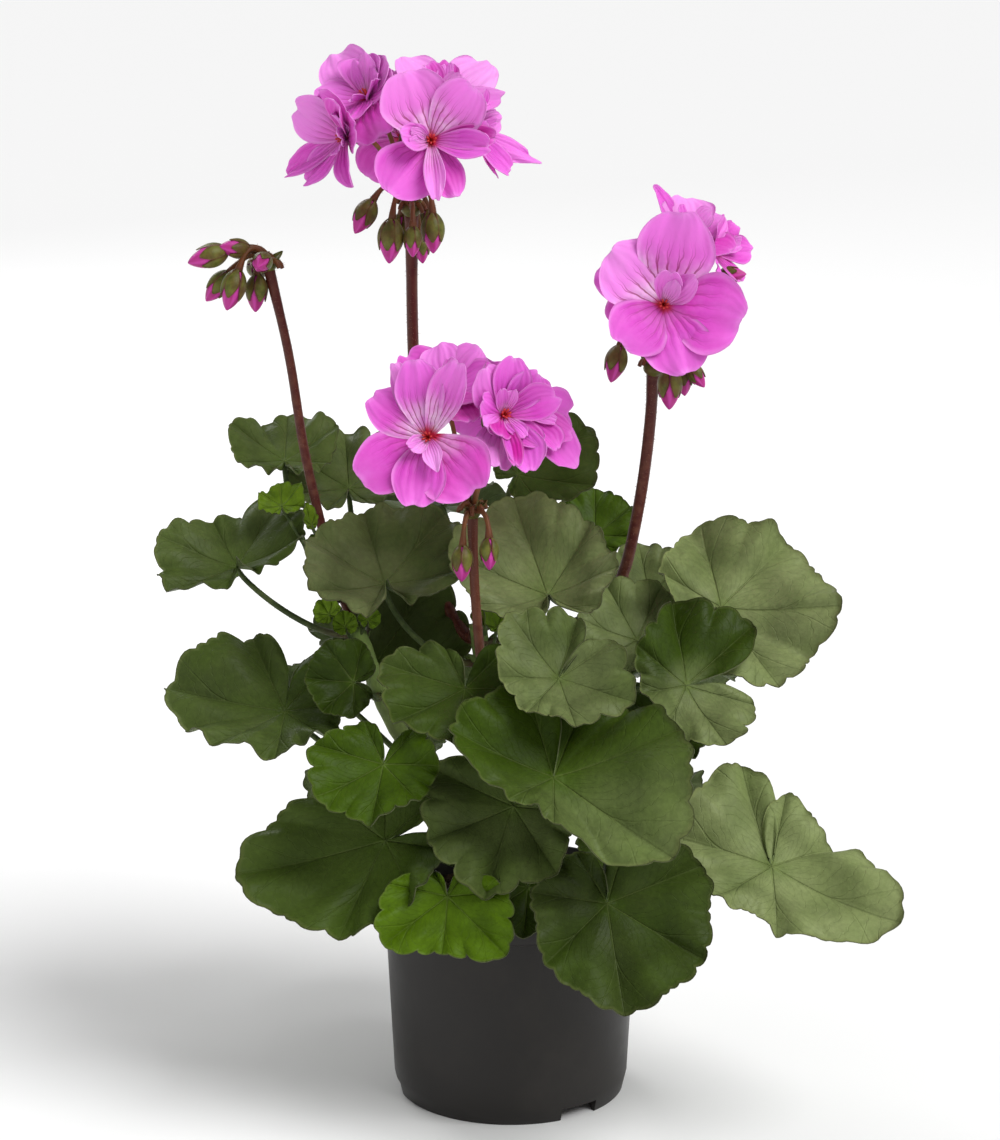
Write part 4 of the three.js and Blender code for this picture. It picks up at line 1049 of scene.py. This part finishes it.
def makeFloret(piece, at, look, petals, ruffles):
    axes = floretAxes(look)
    place = np.array(at, float)
    for angle, length, width, changes in petals:
        petal = {"open": 0.14, "curl": rng.uniform(-0.09, 0.01), "lift": rng.uniform(-0.5, 0.5),
                 "length": length, "width": width, **changes}
        addPetal(piece, place, axes, angle, petal)
    for angle, length in ruffles:
        petal = {"open": rng.uniform(0.55, 0.9), "length": length, "width": rng.uniform(0.6, 1.0),
                 "tone": rng.uniform(-0.1, 0.3), "pale": rng.uniform(0.1, 0.8),
                 "fold": rng.uniform(-0.4, 0.7), "twist": rng.uniform(-40, 40),
                 "curl": rng.uniform(-0.3, 0.1), "upper": 0.5, "ruffle": 0.08}
        addPetal(piece, place, axes, angle, petal)
    base = place - axes[:, 2] * (headBuild["throat"] + headBuild["throatFoot"])
    for i in range(headBuild["filaments"]):  # red filaments and style in the throat
        a = (i * headBuild["ringStep"] + 20) * degree
        lean = axes @ np.array([math.cos(a) * 0.3, math.sin(a) * 0.3, 1])
        piece.addTube([base, base + lean * 3, base + lean * 6], [0.8, 0.4, 0.45], 6, 1)


def lathePoint(t, turn, length, radius):  # a point on the egg shape of a bud
    r = radius * np.sin(math.pi * np.clip(t, 0, 1) ** 0.85) ** 0.72
    return layers(r * np.cos(turn), r * np.sin(turn), (t - 0.5) * length)


def addSepal(piece, place, axes, azimuth, length, radius, flare):
    t = np.linspace(0.04, 0.74, 12)[:, None]
    v = np.linspace(-1, 1, 7)[None, :]
    half = 0.7 * np.sin(math.pi * ((t - 0.04) / 0.7 * 0.85 + 0.13)) ** 0.75
    grid = lathePoint(t, azimuth * degree + v * half, length, radius * 1.04)
    grid[..., :2] *= (1 + flare * smoothStep(t, 0.55, 0.9) * 3 - 0.05 * v ** 2)[..., None]
    piece.addSheet(grid[::-1], headBuild["sepalThickness"], (1,), layers(t, v, 0), axes=axes, place=place)


def makeBud(piece, at, look, scale, umbel):
    axes = axesFor(look, rng.uniform(0, 360))
    place = np.array(at, float)
    length, radius = headBuild["budLength"] * scale, headBuild["budRadius"] * scale
    rows, sides = headBuild["budRows"], headBuild["budSides"]
    t = np.linspace(0.01, 0.99, rows)[:, None]
    turn = np.linspace(0, fullTurn, sides, endpoint=False)[None, :]
    body = lathePoint(t, turn, length, radius * 0.92)
    body[..., :2] *= (1 + 0.05 * np.sin(5 * turn + 6 * t))[..., None]  # petals rolled round one another
    body[..., 2] += 0.03 * length
    spot = layers(0.5 * t + 0.3, np.sin(turn * 2.5), 0)
    piece.add(body.reshape(-1, 3) @ axes.T + place, ringFaces(rows, sides), 3, spot, (0.75, 0, 0))
    for i in range(headBuild["sepals"]):
        azimuth = i * 72 + rng.uniform(-6, 6)
        addSepal(piece, place, axes, azimuth, length, radius, rng.uniform(0.0, 0.08))
    path = bezier([umbel, place - axes[:, 2] * length * 1.5, place - axes[:, 2] * length * 0.42], 14)
    radii = headBuild["pedicelRadius"] * np.interp(np.linspace(0, 1, 14), [0, 0.8, 1], [1.3, 1, 1.8])
    piece.addTube(path, radii, 8, 2)
    piece.addHairs(path, radii, "pedicel", 4)


def makeCalyx(piece, at, look, umbel):
    axes = floretAxes(look)
    out = axes[:, 2]
    top = headBuild["throat"] + headBuild["throatFoot"] + headBuild["calyxGap"]
    centre = np.array(at, float) - out * (top + headBuild["calyxDrop"])
    length, radius = headBuild["calyxLength"], headBuild["calyxRadius"]
    for i in range(headBuild["sepals"]):
        addSepal(piece, centre + out * 1.5, axes, i * 72 + 36, length, radius, 0.35)
    piece.addTube([centre - out * 3.5, centre, centre + out * 3], [1.0, 2.1, 2.4], 10, 1)
    path = bezier([umbel, at - out * (top + 16), at - out * (top + 5)], 14)
    piece.addTube(path, headBuild["pedicelRadius"], 8, 2)


def addUmbel(stalk, umbel, radius):  # bracts and bare stubs round the top of a stalk
    for i in range(headBuild["bracts"]):
        a = i * headBuild["bractStep"] * degree + rng.uniform(-0.2, 0.2)
        outward = np.array([math.cos(a), math.sin(a), rng.uniform(-0.9, 0.5)])
        outward /= np.linalg.norm(outward)
        bract = stipule(umbel, outward, np.array([0, 0, 1.0]), 1, rng.uniform(5, 8))
        stalk.addSheet(bract, stem["stipuleThickness"], (1,), (0.5, 0, 0))
    for i in range(headBuild["stubs"]):  # short hairy stubs that have lost their bud
        a = (i * headBuild["ringStep"] + 15) * degree
        out = np.array([math.cos(a), math.sin(a), 0.0])
        height = rng.uniform(-1, 4)
        bend, tip = umbel + out * 4 + (0, 0, height + 4), umbel + out * 6 + (0, 0, height - 2)
        path = bezier([umbel, bend, tip], 12)
        radii = np.linspace(1.5, 0.9, 12)
        stalk.addTube(path, radii, 8, 2)
        stalk.addHairs(path, radii, "stub", 4)
    ball = bezier([umbel - (0, 0, radius * 1.6), umbel, umbel + (0, 0, radius * 1.6)], 9)
    stalk.addTube(ball, radius * 1.7 * np.sin(np.linspace(0.25, math.pi - 0.25, 9)), 14, 1)


def makeHead(name, head, materials, leafMaterials):
    keys = ("stalk", "sepal", "pedicel", "budPetal", "hair")
    stalk = Piece(f"stalk_{name}_hairy", [*(materials[key] for key in keys), *leafMaterials])
    umbel = np.array(head["umbel"], float)
    start, outward, _ = footOn(head["from"], head["stalk"][0])
    path = smoothCurve([start - outward, start + outward * 4, *head["stalk"], umbel], np.linspace(0, 1, 60))
    radius = headBuild["slimRadius"] if head.get("slim") else headBuild["stalkRadius"]
    radii = radius * np.interp(np.linspace(0, 1, 60), [0, 0.05, 0.9, 1], [1.25, 1, 0.92, 1.15])
    stalk.addTube(path, radii, 20, 0, (head.get("lighter", 0), 0, 0))
    stalk.addHairs(path, radii, "stalk", 4)
    addUmbel(stalk, umbel, radius)
    for at, look, _, _ in florets[name]:
        makeCalyx(stalk, at, look, umbel)
    for at, look, scale in head["buds"]:
        makeBud(stalk, at, look, scale, umbel)
    for row in youngLeaves.get(name, []):
        addBlade(stalk, readLeaf(row), (5, 6, 7))
    stalk.build("stalk", f"stalk_{name}")
    if florets[name]:
        blooms = Piece(f"blooms_{name}", [materials["petal"], materials["filament"]])
        for floret in florets[name]:
            makeFloret(blooms, *floret)
        blooms.build("petal", *head["nodes"])
    print(f"head {name} done")


# Everything in order

addCamera()
addStudio()
print("camera and studio done")
makePot()
makeSoil()
print("pot and soil done")
leafMaterials = [leafMaterial("leafUpper"), leafMaterial("leafUnder", under=True), petioleMaterial()]
feet = [makeLeaf(name, row, leafMaterials) for name, row in leaves.items()]
print("leaves done:", len(feet))
makeStem(feet, leafMaterials)
print("stem done")
headMaterials = {
    "petal": petalMaterial(),
    "filament": plainMaterial("redFilament", petalColors["filament"], 0.45),
    "sepal": greenMaterial("hairySepal", *greenery["sepal"]),
    "stalk": greenMaterial("hairyStalk", *greenery["stalk"]),
    "budPetal": greenMaterial("budPetal", *greenery["budPetal"]),
    "hair": plainMaterial("paleHair", greenery["hair"], 0.6),
    "pedicel": greenMaterial("hairyPedicel", *greenery["pedicel"]),
}
for headName, head in heads.items():
    makeHead(headName, head, headMaterials, leafMaterials)
